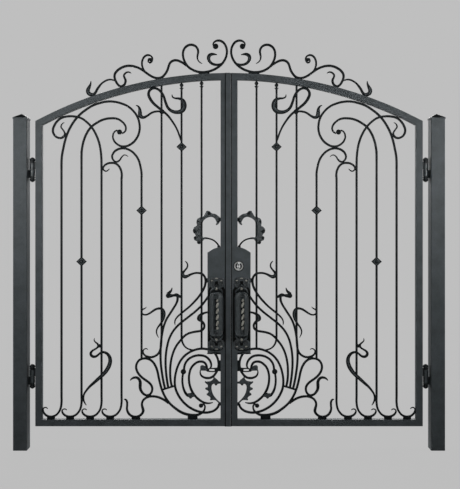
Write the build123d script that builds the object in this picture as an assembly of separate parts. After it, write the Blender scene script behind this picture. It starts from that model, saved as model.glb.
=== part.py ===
from build123d import *

import math
import os

# A pair of wrought iron driveway gate leaves between two square posts.
# Millimetres. X runs along the gate from the left post to the right one, +Y points into the
# drive, the way the leaves open, and +Z is up. The origin is the middle of the left post's foot.

# Posts and the opening between them.
post_size = 80.0
post_height = 1898.0
cap_overhang = 2.0
cap_rim = 10.0
cap_peak = 24.0
clear_opening = 2314.0

# Leaf frames, of square tube.
tube = 38.0
hinge_gap = 43.0
meeting_gap = 22.0
ground_gap = 134.0
crown_height = 2166.0
arch_rise = 276.0

# Square bars inside the frames, and the scrolls forged from the same bar.
# Heights in the scroll drawings are in parts of the bar pitch, and widths in parts of the bar,
# so the scrolls keep their shape when the pitch or the bar changes.
bar = 12.0
bar_count = 8
parts_per_pitch = 115.44
parts_per_bar = 12
weld_crumb = 4.0

# Cover strip over the gap between the two leaves. It stops short of the other leaf's stile, so
# that each leaf can open alone.
strip_lap = 11.0
strip_clearance = 5.5
strip_thickness = 5.0

# Pull handles, one on each face of each leaf: a leafy rosette at each end, a rounded grip that
# stands off the lock box, and a rope down the middle of the grip.
handle_offset = 61.0
handle_height = 783.0
handle_length = 432.0
petal_radius = 25.0
petal_spread = 18.0
rosette_depth = 10.0
rosette_boss = 15.0
rosette_boss_proud = 8.0
grip_width = 72.0
grip_edge = 6.0
grip_bulge = 12.0
grip_inset = 82.0
finger_gap = 36.0
neck_width = 34.0
neck_height = 24.0
rope_radius = 9.0
rope_inset = 31.0
rope_proud = 5.0

# Lock boxes beside the meeting stiles, sized to hold the handle and the lock cylinder above it.
lock_width = 75.0
lock_margin = 17.0
cylinder_above_handle = 56.0
shoulder_above_cylinder = 78.0
lock_arch = 32.0
cylinder_offset = 44.0
cylinder_radius = 26.0
escutcheon_radius = 31.0
escutcheon_thickness = 2.5
cylinder_proud = 4.0
keyway_width = 7.0
keyway_length = 26.0
keyway_depth = 2.0

# Cast collars on the bars, and finials at the tops of the inner bars.
collar_width = 60.0
collar_height = 47.0
collar_depth = 20.0
collar_boss_radius = 9.0
collar_boss_proud = 3.0
collar_depths = {2: 888, 5: 698, 7: 370}
finial_ball = 12.0
finial_neck = 5.0
finial_ring = 14.0
finial_ring_height = 7.0
finial_height = 40.0
finial_bars = (7, 8)

# Hinges: the lower knuckle and its pin stay on the post, the upper knuckle swings.
hinge_heights = (417.0, 1610.0)
hinge_set_back = 6.0
knuckle_radius = 14.0
knuckle_height = 50.0
knuckle_dome = 18.0
pin_radius = 7.0
pin_running_gap = 0.05
pin_end_gap = 1.0
pin_length = 42.0
thrust_gap = 0.3
hinge_tab = 14.0

# Places that follow from the sizes above. Across a leaf, u is the distance out from the gate's
# middle plane, so one leaf drawn in (u, z) serves as the right leaf and, mirrored, as the left.
gate_middle = (post_size + clear_opening) / 2
leaf_inner = meeting_gap / 2
leaf_outer = clear_opening / 2 - hinge_gap
pattern_inner = leaf_inner + tube
pattern_outer = leaf_outer - tube
bar_pitch = (pattern_outer - pattern_inner + bar) / (bar_count + 1)
pitch_part = bar_pitch / parts_per_pitch
bar_part = bar / parts_per_bar
rail_top = ground_gap + tube
arch_radius = (leaf_outer**2 + arch_rise**2) / (2 * arch_rise)
arch_centre = crown_height - arch_radius
lock_outer = pattern_inner + lock_width
handle_foot = handle_height - handle_length / 2
grip_length = handle_length - 2 * grip_inset
rope_length = grip_length - 2 * rope_inset
lock_foot = handle_foot - lock_margin
cylinder_height = handle_foot + handle_length + cylinder_above_handle
lock_shoulder = cylinder_height + shoulder_above_cylinder
hinge_u = leaf_outer + hinge_gap / 2
frame_face = tube / 2


def across(column):
    """Distance u of a bar column: bar 1 is next to the hinge stile, fractions lie between bars."""
    return pattern_inner - bar / 2 + (bar_count + 1 - column) * bar_pitch


def arch_over(u):
    """Height of the arched rail's top."""
    return arch_centre + math.sqrt(arch_radius**2 - u**2)


def arch_under(u):
    """Height of the arched rail's underside."""
    return arch_centre + math.sqrt((arch_radius - tube) ** 2 - u**2)


def low(column, height):
    """A point measured up from the top of the bottom rail."""
    return across(column), rail_top + height * pitch_part


def hung(column, depth):
    """A point measured down from the underside of the arched rail."""
    return across(column), arch_under(across(column)) - depth * pitch_part


def crest(column, height):
    """A point measured up from the top of the arched rail."""
    return across(column), arch_over(across(column)) + height * pitch_part


def by_lock(column, height):
    """A point measured up from the shoulder of the lock box."""
    return across(column), lock_shoulder + height * pitch_part


def block(low_u, high_u, low_z, high_z):
    """Rectangle in the plane of a leaf."""
    middle = ((low_u + high_u) / 2, (low_z + high_z) / 2)
    return Pos(*middle) * Rectangle(high_u - low_u, high_z - low_z)


def pad(place, first, last, foot, head):
    """Weld or foot between two columns, from one height to another."""
    middle = (first + last) / 2
    low_u, high_u = sorted((across(first), across(last)))
    return block(low_u, high_u, place(middle, foot)[1], place(middle, head)[1])


def disc(place, column, height, radius):
    """Ball end of a scroll."""
    return Pos(*place(column, height)) * Circle(radius * bar_part)


def outline(place, points):
    """Flat leaf with a smooth edge through the points."""
    edge = Spline(*[place(*point) for point in points], periodic=True)
    return make_face(edge)


def width_along(share, shares, widths):
    """Width of a band part of the way along it, in between the widths given for its points."""
    for start, end, first, last in zip(shares, shares[1:], widths, widths[1:]):
        if share <= end:
            return first + (last - first) * (share - start) / (end - start)
    return widths[-1]


def ribbon(place, points):
    """Flat band whose middle runs smoothly through points of (column, height, width)."""
    spots = [place(column, height) for column, height, _ in points]
    widths = [width * bar_part for _, _, width in points]
    runs = [math.dist(a, b) for a, b in zip(spots, spots[1:])]
    shares = [sum(runs[:i]) / sum(runs) for i in range(len(spots))]
    middle = Spline(*spots)
    steps = 3 * len(runs)
    left, right = [], []
    for i in range(steps + 1):
        share = i / steps
        spot = middle.position_at(share)
        way = middle.tangent_at(share)
        half = width_along(share, shares, widths) / 2
        left.append((spot.X - way.Y * half, spot.Y + way.X * half))
        right.append((spot.X + way.Y * half, spot.Y - way.X * half))
    sides = [Spline(*left), Line(left[-1], right[-1]), Spline(*reversed(right)), Line(right[0], left[0])]
    return make_face(Wire(sides))


def upright(sketch, depth):
    """Give a drawing in (u, z) its depth, half of it to each side of the leaf's middle plane."""
    return Pos(0, depth / 2, 0) * Rot(90, 0, 0) * extrude(sketch, depth)


def without(sketch, *taken):
    """What is left of a drawing beside the pieces already there, less the crumbs at the welds."""
    rest = sketch
    for piece in taken:
        rest = rest - piece
    return Sketch() + [face for face in rest.faces() if face.area > weld_crumb]


# Frame of a leaf.
arch_fill = Pos(0, arch_centre) * Circle(arch_radius - tube)
arch_disc = Pos(0, arch_centre) * Circle(arch_radius)
top_rail = (arch_disc - arch_fill) & block(leaf_inner, leaf_outer, rail_top, crown_height)
outer_stile = block(pattern_outer, leaf_outer, ground_gap, crown_height) & arch_fill
meeting_stile = block(leaf_inner, pattern_inner, ground_gap, crown_height) & arch_fill
bottom_rail = block(pattern_inner, pattern_outer, ground_gap, rail_top)
lock_middle = (pattern_inner + lock_outer) / 2
lock_brow = ThreePointArc(
    (lock_outer, lock_shoulder),
    (lock_middle, lock_shoulder + lock_arch * 0.68),
    (pattern_inner, lock_shoulder + lock_arch),
)
lock_sides = Polyline(
    (pattern_inner, lock_shoulder + lock_arch),
    (pattern_inner, lock_foot),
    (lock_outer, lock_foot),
    (lock_outer, lock_shoulder),
)
lock_box = make_face(Wire([lock_brow, *lock_sides.edges()]))
frame = top_rail + outer_stile + meeting_stile + bottom_rail + lock_box

# Straight bars. The feet of the four bars nearest the hinge turn up into a small scroll.
foot_turn = [
    (0.0, 132, 12),
    (0.0, 95, 12),
    (-0.05, 60, 12),
    (-0.16, 36, 12),
    (-0.31, 20, 12),
    (-0.5, 14, 12),
    (-0.69, 17, 12),
    (-0.83, 28, 11),
    (-0.91, 43, 10),
    (-0.92, 56, 8),
    (-0.86, 65, 7),
    (-0.77, 66, 6),
    (-0.69, 59, 4),
]
foot_pad = (-0.33, -0.72)
foot_height = 16
turned_bars = 4
bar_feet = {1: 130, 2: 130, 3: 130, 4: 130, 5: 344, 6: 470, 7: 470, 8: 400}
bar_heads = {1: 255, 2: 250, 3: 385, 4: 480, 5: 500}


def bar_outline(number):
    """One straight bar, up to its scroll, its finial or the arched rail."""
    u = across(number)
    foot = low(number, bar_feet[number])[1]
    head = arch_under(u) - finial_height if number in finial_bars else crown_height
    head = hung(number, bar_heads[number])[1] if number in bar_heads else head
    return block(u - bar / 2, u + bar / 2, foot, head) & arch_fill


bars = Sketch() + [bar_outline(number) for number in range(1, bar_count + 1)]
for number in range(1, turned_bars + 1):
    bars += ribbon(low, [(number + column, height, width) for column, height, width in foot_turn])
    bars += pad(low, *[number + column for column in foot_pad], 0, foot_height)
bars = without(bars, frame)

# Scrolls of the upper outer corner, where bars 1 to 5 run on into curves.
corner_scrolls = (
    ribbon(hung, [
        (1.0, 262, 12), (1.03, 225, 12), (1.09, 195, 12), (1.17, 154, 12), (1.3, 115, 12),
        (1.47, 83, 12), (1.68, 56, 12), (1.91, 37, 12), (2.22, 22, 12), (2.57, 12, 12),
        (2.94, 12, 12), (3.32, 18, 12), (3.7, 34, 12), (4.02, 54, 12), (4.32, 79, 12),
        (4.6, 115, 12), (4.8, 155, 12), (4.9, 199, 12), (4.89, 239, 12), (4.76, 274, 12),
        (4.49, 300, 12), (4.11, 304, 12), (3.79, 281, 11), (3.6, 248, 10), (3.57, 222, 9),
        (3.66, 203, 8), (3.8, 200, 8),
    ])
    + ribbon(hung, [
        (2.0, 255, 12), (2.04, 236, 12), (2.11, 199, 12), (2.27, 158, 12), (2.47, 134, 12),
        (2.76, 120, 12), (3.11, 114, 12), (3.46, 120, 12), (3.78, 134, 12), (4.0, 155, 11),
        (4.17, 182, 11), (4.22, 204, 10), (4.16, 220, 9), (4.02, 226, 8),
    ])
    + disc(hung, 3.9, 214, 15)
    + ribbon(hung, [
        (3.0, 390, 12), (2.99, 330, 12), (2.95, 282, 12), (2.87, 236, 12), (2.73, 188, 12),
        (2.51, 136, 12), (2.24, 92, 12), (1.96, 58, 12), (1.63, 34, 12), (1.28, 17, 12),
        (0.98, 11, 12), (0.78, 19, 12), (0.64, 36, 12), (0.57, 60, 12), (0.63, 87, 12),
        (0.77, 110, 12), (0.96, 125, 12), (1.1, 124, 12), (1.17, 113, 11), (1.14, 99, 9),
        (1.05, 79, 8), (0.98, 63, 8), (1.0, 51, 7), (1.07, 45, 5), (1.14, 45, 3),
    ])
    + ribbon(hung, [
        (4.0, 490, 12), (4.01, 458, 12), (3.96, 432, 12), (3.85, 407, 12), (3.71, 390, 12),
        (3.48, 378, 12), (3.26, 376, 11), (3.12, 384, 10), (3.08, 397, 9), (3.14, 410, 8),
        (3.24, 417, 7), (3.33, 414, 6), (3.4, 409, 3),
    ])
    + ribbon(hung, [
        (5.0, 510, 12), (5.0, 485, 12), (4.95, 445, 12), (4.84, 400, 12), (4.67, 366, 12),
        (4.43, 336, 12), (4.2, 319, 12), (3.97, 311, 12), (3.72, 314, 12), (3.57, 328, 11),
        (3.53, 345, 11), (3.58, 363, 10), (3.69, 378, 10), (3.82, 381, 10), (3.93, 373, 9),
        (4.02, 360, 7), (4.14, 354, 6), (4.25, 360, 5), (4.33, 370, 3),
    ])
    + pad(hung, 3.95, 4.24, 317, 302)
)
corner_scrolls = without(corner_scrolls, frame, bars)

# Branch that leaves bar 7 above its collar, loops over bar 6 and ends in a leaf across bar 7.
crown_branch = (
    ribbon(hung, [
        (6.97, 332, 9), (6.9, 306, 10), (6.74, 258, 10), (6.54, 217, 11), (6.3, 177, 12),
        (6.05, 147, 13), (5.8, 119, 14), (5.57, 90, 15), (5.41, 59, 16), (5.35, 34, 15),
        (5.42, 14, 14), (5.6, 7, 13), (5.8, 16, 13), (5.97, 36, 13), (6.1, 62, 13),
        (6.2, 100, 14), (6.34, 137, 15), (6.54, 158, 17), (6.78, 167, 20), (7.0, 163, 24),
        (7.12, 145, 26), (7.13, 122, 24), (7.04, 100, 18), (6.85, 89, 12), (6.66, 84, 9),
        (6.55, 75, 8), (6.52, 61, 4),
    ])
    + ribbon(hung, [
        (6.1, 160, 8), (5.94, 149, 10), (5.7, 144, 11), (5.5, 147, 11), (5.26, 160, 12),
        (5.07, 163, 16), (4.95, 152, 22), (4.92, 130, 21), (4.9, 108, 14), (4.82, 92, 9),
        (4.72, 84, 4),
    ])
)
crown_branch = without(crown_branch, frame, bars, corner_scrolls)

# Acanthus leaf that arches from the meeting stile over to the top of the lock box.
acanthus = outline(by_lock, [
    (8.72, 160), (8.78, 174), (8.73, 188), (8.62, 198), (8.5, 204), (8.35, 202), (8.18, 192),
    (8.07, 176), (8.04, 150), (8.03, 120), (8.06, 92), (8.12, 78), (8.05, 64), (7.97, 52),
    (7.87, 48), (7.81, 56), (7.74, 66), (7.64, 71), (7.62, 82), (7.7, 94), (7.64, 110),
    (7.57, 128), (7.62, 144), (7.75, 156), (7.74, 174), (7.78, 192), (7.92, 202), (8.08, 208),
    (8.17, 224), (8.26, 239), (8.4, 237), (8.52, 226), (8.68, 222), (8.82, 212), (8.92, 196),
    (8.91, 178), (8.83, 166),
]) + ribbon(by_lock, [
    (8.04, 79, 13), (8.2, 82, 11), (8.38, 79, 9), (8.56, 72, 9), (8.7, 61, 9), (8.8, 48, 10),
    (8.87, 34, 10), (8.91, 24, 9),
])
acanthus = without(acanthus, frame, bars)

# Vines that wind across the bars between the corner scrolls and the base.
vines = (
    ribbon(low, [
        (2.24, 79, 4), (2.16, 93, 8), (2.1, 112, 10), (2.12, 140, 10), (2.23, 162, 11),
        (2.4, 186, 13), (2.62, 209, 16), (2.85, 233, 18), (3.08, 257, 20), (3.27, 284, 22),
        (3.4, 315, 22), (3.43, 343, 20), (3.36, 366, 17), (3.2, 382, 14), (3.03, 385, 12),
        (2.9, 377, 11), (2.78, 365, 12), (2.64, 359, 14), (2.51, 364, 15), (2.46, 378, 14),
        (2.52, 391, 12), (2.65, 401, 10), (2.78, 411, 10), (2.84, 422, 14), (2.8, 433, 10),
        (2.7, 443, 8), (2.63, 454, 6), (2.65, 466, 3),
    ])
    + pad(low, 2.84, 3.0, 412, 432)
    + pad(low, 2.0, 2.1, 102, 130)
    + ribbon(low, [
        (5.25, 646, 3), (5.15, 637, 7), (5.04, 630, 9), (5.0, 617, 9), (5.06, 605, 9),
        (5.2, 601, 9), (5.36, 607, 10), (5.52, 619, 11), (5.68, 631, 12), (5.83, 637, 12),
        (5.98, 636, 14), (6.08, 626, 16), (6.12, 607, 18), (6.1, 585, 16), (6.04, 566, 12),
        (5.93, 546, 11), (5.82, 529, 9), (5.75, 510, 8), (5.76, 491, 7), (5.85, 469, 3),
    ])
    + ribbon(low, [
        (7.17, 911, 4), (7.25, 903, 7), (7.3, 889, 8), (7.28, 875, 9), (7.18, 859, 10),
        (7.08, 844, 13), (7.07, 830, 18), (7.16, 821, 20), (7.29, 824, 15), (7.46, 834, 12),
        (7.65, 841, 11), (7.84, 842, 11), (8.02, 837, 12), (8.14, 823, 12), (8.2, 803, 13),
        (8.19, 780, 13), (8.13, 757, 12), (8.02, 733, 12), (7.88, 709, 12), (7.66, 679, 12),
        (7.4, 649, 11), (7.15, 625, 11), (6.95, 606, 10), (6.79, 589, 9), (6.69, 572, 8),
        (6.66, 556, 7), (6.68, 541, 3),
    ])
    + pad(low, 8.2, 8.4, 787, 812)
)
vines = without(vines, frame, bars)

# Fan of stems that rises from a slanted band towards the lock box.
fan = (
    ribbon(low, [
        (6.17, 176, 12), (6.1, 212, 12), (6.02, 265, 12), (5.96, 325, 12), (5.95, 390, 12),
        (5.98, 450, 12), (6.05, 505, 12), (6.13, 542, 12), (6.26, 578, 12), (6.43, 609, 12),
        (6.59, 638, 12), (6.73, 665, 12), (6.8, 690, 13), (6.79, 708, 12),
    ])
    + ribbon(low, [
        (6.96, 703, 12), (6.86, 709, 16), (6.74, 715, 20), (6.6, 713, 13), (6.48, 711, 18),
        (6.36, 713, 26), (6.24, 714, 22),
    ])
    + ribbon(low, [(6.3, 720, 18), (6.4, 730, 16), (6.48, 741, 11), (6.53, 757, 4)])
    + ribbon(low, [
        (6.33, 182, 12), (6.27, 225, 12), (6.22, 275, 12), (6.2, 325, 12), (6.22, 375, 12),
        (6.29, 425, 12), (6.4, 468, 12), (6.6, 510, 12), (6.8, 537, 12), (7.0, 558, 12),
        (7.2, 576, 12), (7.4, 594, 12), (7.6, 612, 12), (7.8, 632, 12), (8.0, 655, 12),
        (8.16, 678, 12), (8.34, 708, 12),
    ])
    + ribbon(low, [
        (6.51, 188, 12), (6.45, 225, 12), (6.43, 275, 12), (6.46, 325, 12), (6.55, 372, 12),
        (6.72, 418, 12), (6.93, 451, 12), (7.1, 474, 12), (7.3, 491, 12), (7.5, 499, 12),
        (7.72, 504, 12), (7.92, 508, 12), (8.07, 517, 12), (8.14, 534, 12), (8.1, 552, 12),
        (7.98, 566, 14), (7.88, 578, 24), (7.92, 595, 20), (8.04, 606, 13), (8.18, 613, 11),
        (8.36, 616, 10),
    ])
    + ribbon(low, [(6.0, 168, 10), (6.2, 175, 10), (6.45, 184, 10), (6.7, 192, 10)])
)
fan = without(fan, frame, bars, vines)

# Great ring scroll beside the meeting stile, with its inner rings and its leafy stem.
ring_scroll = (
    ribbon(low, [
        (7.92, 264, 7), (7.96, 251, 9), (8.07, 241, 11), (8.22, 236, 12), (8.38, 237, 12),
        (8.54, 244, 12), (8.7, 257, 12), (8.8, 276, 12), (8.85, 300, 12), (8.84, 330, 12),
        (8.77, 358, 12), (8.64, 381, 12), (8.45, 396, 12), (8.2, 404, 12), (7.92, 405, 12),
        (7.6, 396, 12), (7.3, 378, 12), (7.03, 349, 12), (6.84, 312, 12), (6.71, 265, 12),
        (6.66, 220, 12), (6.69, 180, 12), (6.8, 146, 12), (6.99, 111, 12), (7.25, 80, 12),
        (7.55, 57, 12), (7.85, 43, 12), (8.15, 37, 12), (8.45, 41, 12), (8.67, 52, 12),
        (8.81, 68, 12), (8.85, 86, 13),
    ])
    + ribbon(low, [
        (7.12, 286, 12), (7.16, 312, 12), (7.28, 337, 12), (7.47, 355, 12), (7.7, 365, 12),
        (7.95, 367, 12), (8.18, 361, 12), (8.36, 345, 12), (8.46, 325, 11), (8.48, 305, 10),
        (8.42, 289, 8),
    ])
    + disc(low, 7.09, 273, 16)
    + ribbon(low, [
        (7.07, 262, 11), (7.04, 230, 11), (7.06, 195, 11), (7.13, 163, 12), (7.25, 139, 13),
        (7.38, 128, 24), (7.5, 132, 26), (7.62, 143, 14),
    ])
    + ribbon(low, [
        (8.22, 306, 12), (8.16, 322, 12), (8.0, 331, 12), (7.82, 329, 12), (7.64, 316, 12),
        (7.48, 294, 12), (7.39, 262, 12), (7.37, 228, 12), (7.42, 190, 12), (7.54, 156, 13),
        (7.7, 130, 12), (7.86, 113, 12), (8.04, 99, 11), (8.22, 92, 10), (8.4, 91, 8),
        (8.57, 95, 4),
    ])
    + disc(low, 8.08, 296, 17)
    + ribbon(low, [(8.1, 291, 7), (8.84, 293, 7)])
    + ribbon(low, [(8.0, 277, 6), (8.82, 273, 6)])
    + ribbon(low, [
        (8.86, 80, 11), (8.84, 98, 13), (8.72, 116, 16), (8.58, 136, 19), (8.47, 160, 21),
        (8.41, 184, 22), (8.38, 206, 18), (8.45, 224, 15), (8.58, 238, 12), (8.64, 250, 10),
    ])
    + ribbon(low, [(8.6, 128, 14), (8.5, 116, 14), (8.42, 110, 8)])
    + ribbon(low, [(8.46, 158, 16), (8.34, 150, 16), (8.26, 144, 8)])
    + ribbon(low, [(8.42, 188, 16), (8.28, 180, 16), (8.19, 176, 8)])
    + ribbon(low, [(8.13, 216, 5), (8.2, 210, 14), (8.34, 211, 18), (8.5, 220, 18), (8.63, 236, 14)])
    + ribbon(low, [(8.56, 229, 16), (8.7, 224, 20), (8.83, 213, 16), (8.96, 208, 13)])
    + ribbon(low, [(8.74, 216, 14), (8.72, 199, 6)])
    + pad(low, 8.83, 9.0, 298, 344)
    + pad(low, 8.84, 9.0, 74, 96)
    + ribbon(low, [
        (7.0, 478, 12), (7.03, 448, 10), (7.12, 425, 9), (7.26, 409, 8), (7.42, 401, 8),
        (7.6, 398, 6),
    ])
)
ring_scroll = without(ring_scroll, frame, bars, fan)

# Scrolls that stand on the bottom rail under bars 5 and 6.
base_scrolls = (
    ribbon(low, [
        (4.43, 222, 4), (4.5, 231, 9), (4.61, 238, 12), (4.74, 239, 13), (4.86, 231, 14),
        (4.93, 214, 16), (4.93, 194, 17), (4.94, 174, 15), (5.01, 157, 13), (5.11, 144, 12),
        (5.24, 137, 12), (5.37, 139, 12), (5.47, 149, 12), (5.53, 166, 12), (5.52, 185, 12),
        (5.43, 203, 12), (5.27, 219, 12), (5.14, 229, 12),
    ])
    + ribbon(low, [
        (5.27, 219, 12), (5.14, 229, 12), (4.98, 244, 12), (4.85, 261, 12), (4.76, 281, 12),
        (4.73, 303, 12), (4.79, 326, 12), (4.92, 342, 12), (5.1, 349, 12), (5.32, 347, 12),
        (5.52, 334, 12), (5.68, 309, 12), (5.79, 276, 12), (5.86, 238, 12), (5.93, 203, 12),
        (6.02, 168, 12), (6.14, 136, 12), (6.29, 107, 12), (6.48, 82, 12), (6.72, 59, 13),
        (7.0, 38, 14), (7.3, 26, 14), (7.6, 22, 14), (7.84, 25, 13), (8.02, 36, 12),
    ])
    + ribbon(low, [(7.95, 31, 12), (8.09, 44, 11), (8.16, 61, 10), (8.15, 79, 9), (8.04, 88, 8)])
    + disc(low, 7.97, 77, 13)
    + ribbon(low, [
        (4.12, 114, 4), (4.2, 112, 9), (4.27, 100, 11), (4.28, 80, 11), (4.27, 58, 11),
        (4.32, 39, 12), (4.42, 24, 12), (4.56, 15, 12), (4.71, 13, 12), (4.86, 17, 12),
        (5.0, 28, 13), (5.08, 45, 15), (5.06, 62, 14), (5.02, 80, 12), (5.04, 98, 12),
        (5.13, 114, 12), (5.26, 124, 12), (5.44, 130, 12), (5.64, 130, 12), (5.85, 125, 12),
        (6.05, 115, 12), (6.22, 103, 12), (6.36, 91, 12),
    ])
    + ribbon(low, [
        (6.0, 480, 12), (5.98, 435, 12), (5.94, 402, 12), (5.84, 378, 12), (5.69, 364, 12),
        (5.5, 357, 12), (5.31, 359, 12), (5.16, 368, 10), (5.08, 382, 9), (5.09, 396, 7),
        (5.18, 405, 6), (5.26, 405, 5), (5.32, 400, 3),
    ])
    + pad(low, 5.18, 5.4, 345, 358)
    + pad(low, 4.5, 4.93, 0, foot_height)
    + pad(low, 7.3, 7.8, 0, 24)
)
base_scrolls = without(base_scrolls, frame, bars, fan, ring_scroll)

# Crest of scrolls that stands on the arched rail.
crest_scrolls = (
    ribbon(crest, [
        (2.47, 92, 4), (2.45, 76, 9), (2.38, 60, 16), (2.32, 45, 20), (2.35, 29, 21),
        (2.45, 16, 20), (2.58, 10, 16), (2.69, 16, 13), (2.78, 32, 12), (2.88, 46, 11),
        (3.0, 60, 10), (3.14, 69, 10), (3.32, 72, 10), (3.48, 65, 10), (3.62, 52, 9),
        (3.72, 44, 8),
    ])
    + ribbon(crest, [
        (4.48, 68, 4), (4.4, 76, 7), (4.29, 80, 8), (4.18, 76, 9), (4.12, 66, 10),
        (4.15, 52, 11), (4.2, 36, 12), (4.18, 20, 12), (4.09, 9, 12), (3.96, 8, 12),
        (3.84, 20, 12), (3.73, 42, 12), (3.66, 65, 12), (3.66, 86, 12), (3.76, 102, 12),
        (3.95, 113, 12), (4.2, 117, 12), (4.45, 112, 12), (4.72, 98, 12), (4.98, 78, 12),
        (5.2, 55, 12), (5.42, 32, 12), (5.62, 16, 12), (5.82, 8, 12), (6.02, 10, 12),
        (6.18, 25, 12), (6.29, 44, 12), (6.36, 68, 12), (6.44, 86, 12), (6.58, 95, 12),
        (6.76, 94, 12), (6.96, 83, 12), (7.16, 66, 12), (7.32, 50, 11),
    ])
    + ribbon(crest, [
        (5.22, 52, 11), (5.12, 68, 11), (5.05, 88, 10), (5.02, 108, 10), (5.05, 130, 10),
        (5.15, 147, 10), (5.3, 152, 9), (5.44, 145, 8), (5.52, 130, 7),
    ])
    + disc(crest, 5.41, 122, 13)
    + ribbon(crest, [
        (8.03, 61, 3), (7.92, 69, 6), (7.83, 81, 7), (7.79, 98, 9), (7.81, 116, 11),
        (7.83, 132, 12), (7.78, 152, 12), (7.66, 167, 12), (7.47, 175, 12), (7.27, 170, 12),
        (7.13, 154, 12), (7.07, 130, 12), (7.09, 104, 12), (7.18, 76, 12), (7.32, 51, 12),
        (7.52, 32, 12), (7.74, 19, 12), (8.0, 12, 12), (8.25, 12, 12), (8.52, 19, 12),
        (8.78, 33, 12), (9.0, 53, 12), (9.16, 78, 12), (9.25, 106, 12), (9.26, 135, 12),
        (9.18, 163, 12), (9.03, 183, 12), (8.84, 190, 11), (8.66, 184, 10), (8.57, 170, 9),
        (8.58, 155, 8),
    ])
    + disc(crest, 8.7, 157, 14)
    + ribbon(crest, [
        (9.02, 56, 10), (8.86, 51, 11), (8.7, 51, 12), (8.54, 57, 13), (8.41, 70, 15),
        (8.35, 87, 18), (8.38, 104, 18), (8.5, 112, 15), (8.63, 112, 11), (8.77, 109, 5),
    ])
    + pad(crest, 7.85, 8.4, -4, 14)
)
crest_scrolls = without(crest_scrolls, top_rail)


def collar(number, depth):
    """Diamond-shaped collar threaded on a bar, with a round boss on each face."""
    diamond = Polyline(
        (-collar_width / 2, 0), (0, collar_height / 2), (collar_width / 2, 0), (0, -collar_height / 2),
        close=True,
    )
    body = upright(make_face(diamond), collar_depth)
    boss = upright(Circle(collar_boss_radius), collar_depth + 2 * collar_boss_proud)
    hole = Box(bar, bar, 2 * collar_height)
    u, height = hung(number, depth)
    return Pos(u, 0, height) * (body + boss - hole)


def finial(number):
    """Ball and ring between the head of a bar and the arched rail."""
    u = across(number)
    foot = arch_under(u) - finial_height
    ring = Pos(u, 0, foot + finial_ring_height / 2) * Cylinder(finial_ring, finial_ring_height)
    neck = Pos(u, 0, foot + finial_height / 2) * Cylinder(finial_neck, finial_height + finial_ball)
    ball = Pos(u, 0, foot + finial_height - finial_ball * 1.25) * Sphere(finial_ball)
    return (ring + neck + ball) - upright(top_rail, tube) - Pos(u, 0, foot - bar) * Box(bar, bar, 2 * bar)


def handle(side):
    """Cast pull handle on one face: side is -1 for the street face and 1 for the drive face."""
    rosette = Circle(rosette_boss)
    for across_way in (-1, 1):
        for up_way in (-1, 1):
            rosette += Pos(across_way * petal_spread, up_way * petal_spread) * Circle(petal_radius)
    boss = Circle(rosette_boss)
    grip_back = finger_gap
    grip_front = grip_back + grip_edge
    grip_side = Polyline(
        (-grip_width / 2, grip_front), (-grip_width / 2, grip_back),
        (grip_width / 2, grip_back), (grip_width / 2, grip_front),
    )
    grip_crown = ThreePointArc(
        (grip_width / 2, grip_front), (0, grip_front + grip_bulge), (-grip_width / 2, grip_front)
    )
    rope_middle = grip_front + grip_bulge + rope_proud - rope_radius
    grip = extrude(make_face(Wire([*grip_side.edges(), grip_crown])), grip_length / 2, both=True)
    rope = Pos(0, rope_middle, 0) * Cylinder(rope_radius, rope_length)
    cast = grip + rope
    end_z = handle_length / 2 - petal_spread - petal_radius
    neck_z = (grip_length - neck_height) / 2
    for way in (-1, 1):
        flower = extrude(rosette, rosette_depth) + extrude(boss, rosette_depth + rosette_boss_proud)
        cast += Pos(0, 0, way * end_z) * Rot(-90, 0, 0) * flower
        cast += Pos(0, grip_front / 2, way * neck_z) * Box(neck_width, grip_front, neck_height)
    turned = cast if side > 0 else Rot(0, 0, 180) * cast
    return Pos(leaf_inner + handle_offset, side * frame_face, handle_height) * turned


def lock_cylinder(side):
    """Round escutcheon and lock cylinder on one face, with a keyway cut into it."""
    plate = Cylinder(escutcheon_radius, escutcheon_thickness)
    plug = Cylinder(cylinder_radius, cylinder_proud)
    slot = Box(keyway_width, keyway_length, keyway_depth)
    top = escutcheon_thickness + cylinder_proud
    body = (
        Pos(0, 0, escutcheon_thickness / 2) * plate
        + Pos(0, 0, top - cylinder_proud / 2) * plug
        - Pos(0, 0, top - keyway_depth / 2) * slot
    )
    spot = (leaf_inner + cylinder_offset, side * frame_face, cylinder_height)
    return Pos(*spot) * Rot(-90 * side, 0, 0) * body


def knuckle(height, up):
    """Hinge knuckle with a domed end: up is 1 for the upper knuckle and -1 for the lower one."""
    inner = thrust_gap / 2
    barrel = Pos(hinge_u, hinge_set_back, height + up * (inner + knuckle_height / 2)) * Cylinder(
        knuckle_radius, knuckle_height
    )
    crown = height + up * (inner + knuckle_height)
    dome = Pos(hinge_u, hinge_set_back, crown) * Sphere(knuckle_radius)
    tip = Pos(hinge_u, hinge_set_back, crown + up * knuckle_dome * 0.75) * Sphere(knuckle_dome * 0.3)
    return barrel + dome + tip


def hinge_tab_box(from_u, to_u, height, up):
    """Plate that welds a knuckle to the post or to the leaf."""
    middle = height + up * (thrust_gap + knuckle_height) / 2
    return Pos((from_u + to_u) / 2, hinge_set_back, middle) * Box(
        to_u - from_u, hinge_tab, knuckle_height - thrust_gap
    )


def hinge_pin(height):
    """Lower knuckle, the pin that stands in it and the tab to the post."""
    pin = Pos(hinge_u, hinge_set_back, height + pin_length / 2) * Cylinder(pin_radius, pin_length)
    return knuckle(height, -1) + hinge_tab_box(hinge_u, clear_opening / 2, height, -1) + pin


def hinge_socket(height):
    """Upper knuckle, bored for the pin, and the tab to the leaf."""
    depth = pin_length + pin_end_gap
    bore = Pos(hinge_u, hinge_set_back, height + depth / 2) * Cylinder(pin_radius + pin_running_gap, depth)
    return knuckle(height, 1) + hinge_tab_box(leaf_outer, hinge_u, height, 1) - bore


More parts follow.
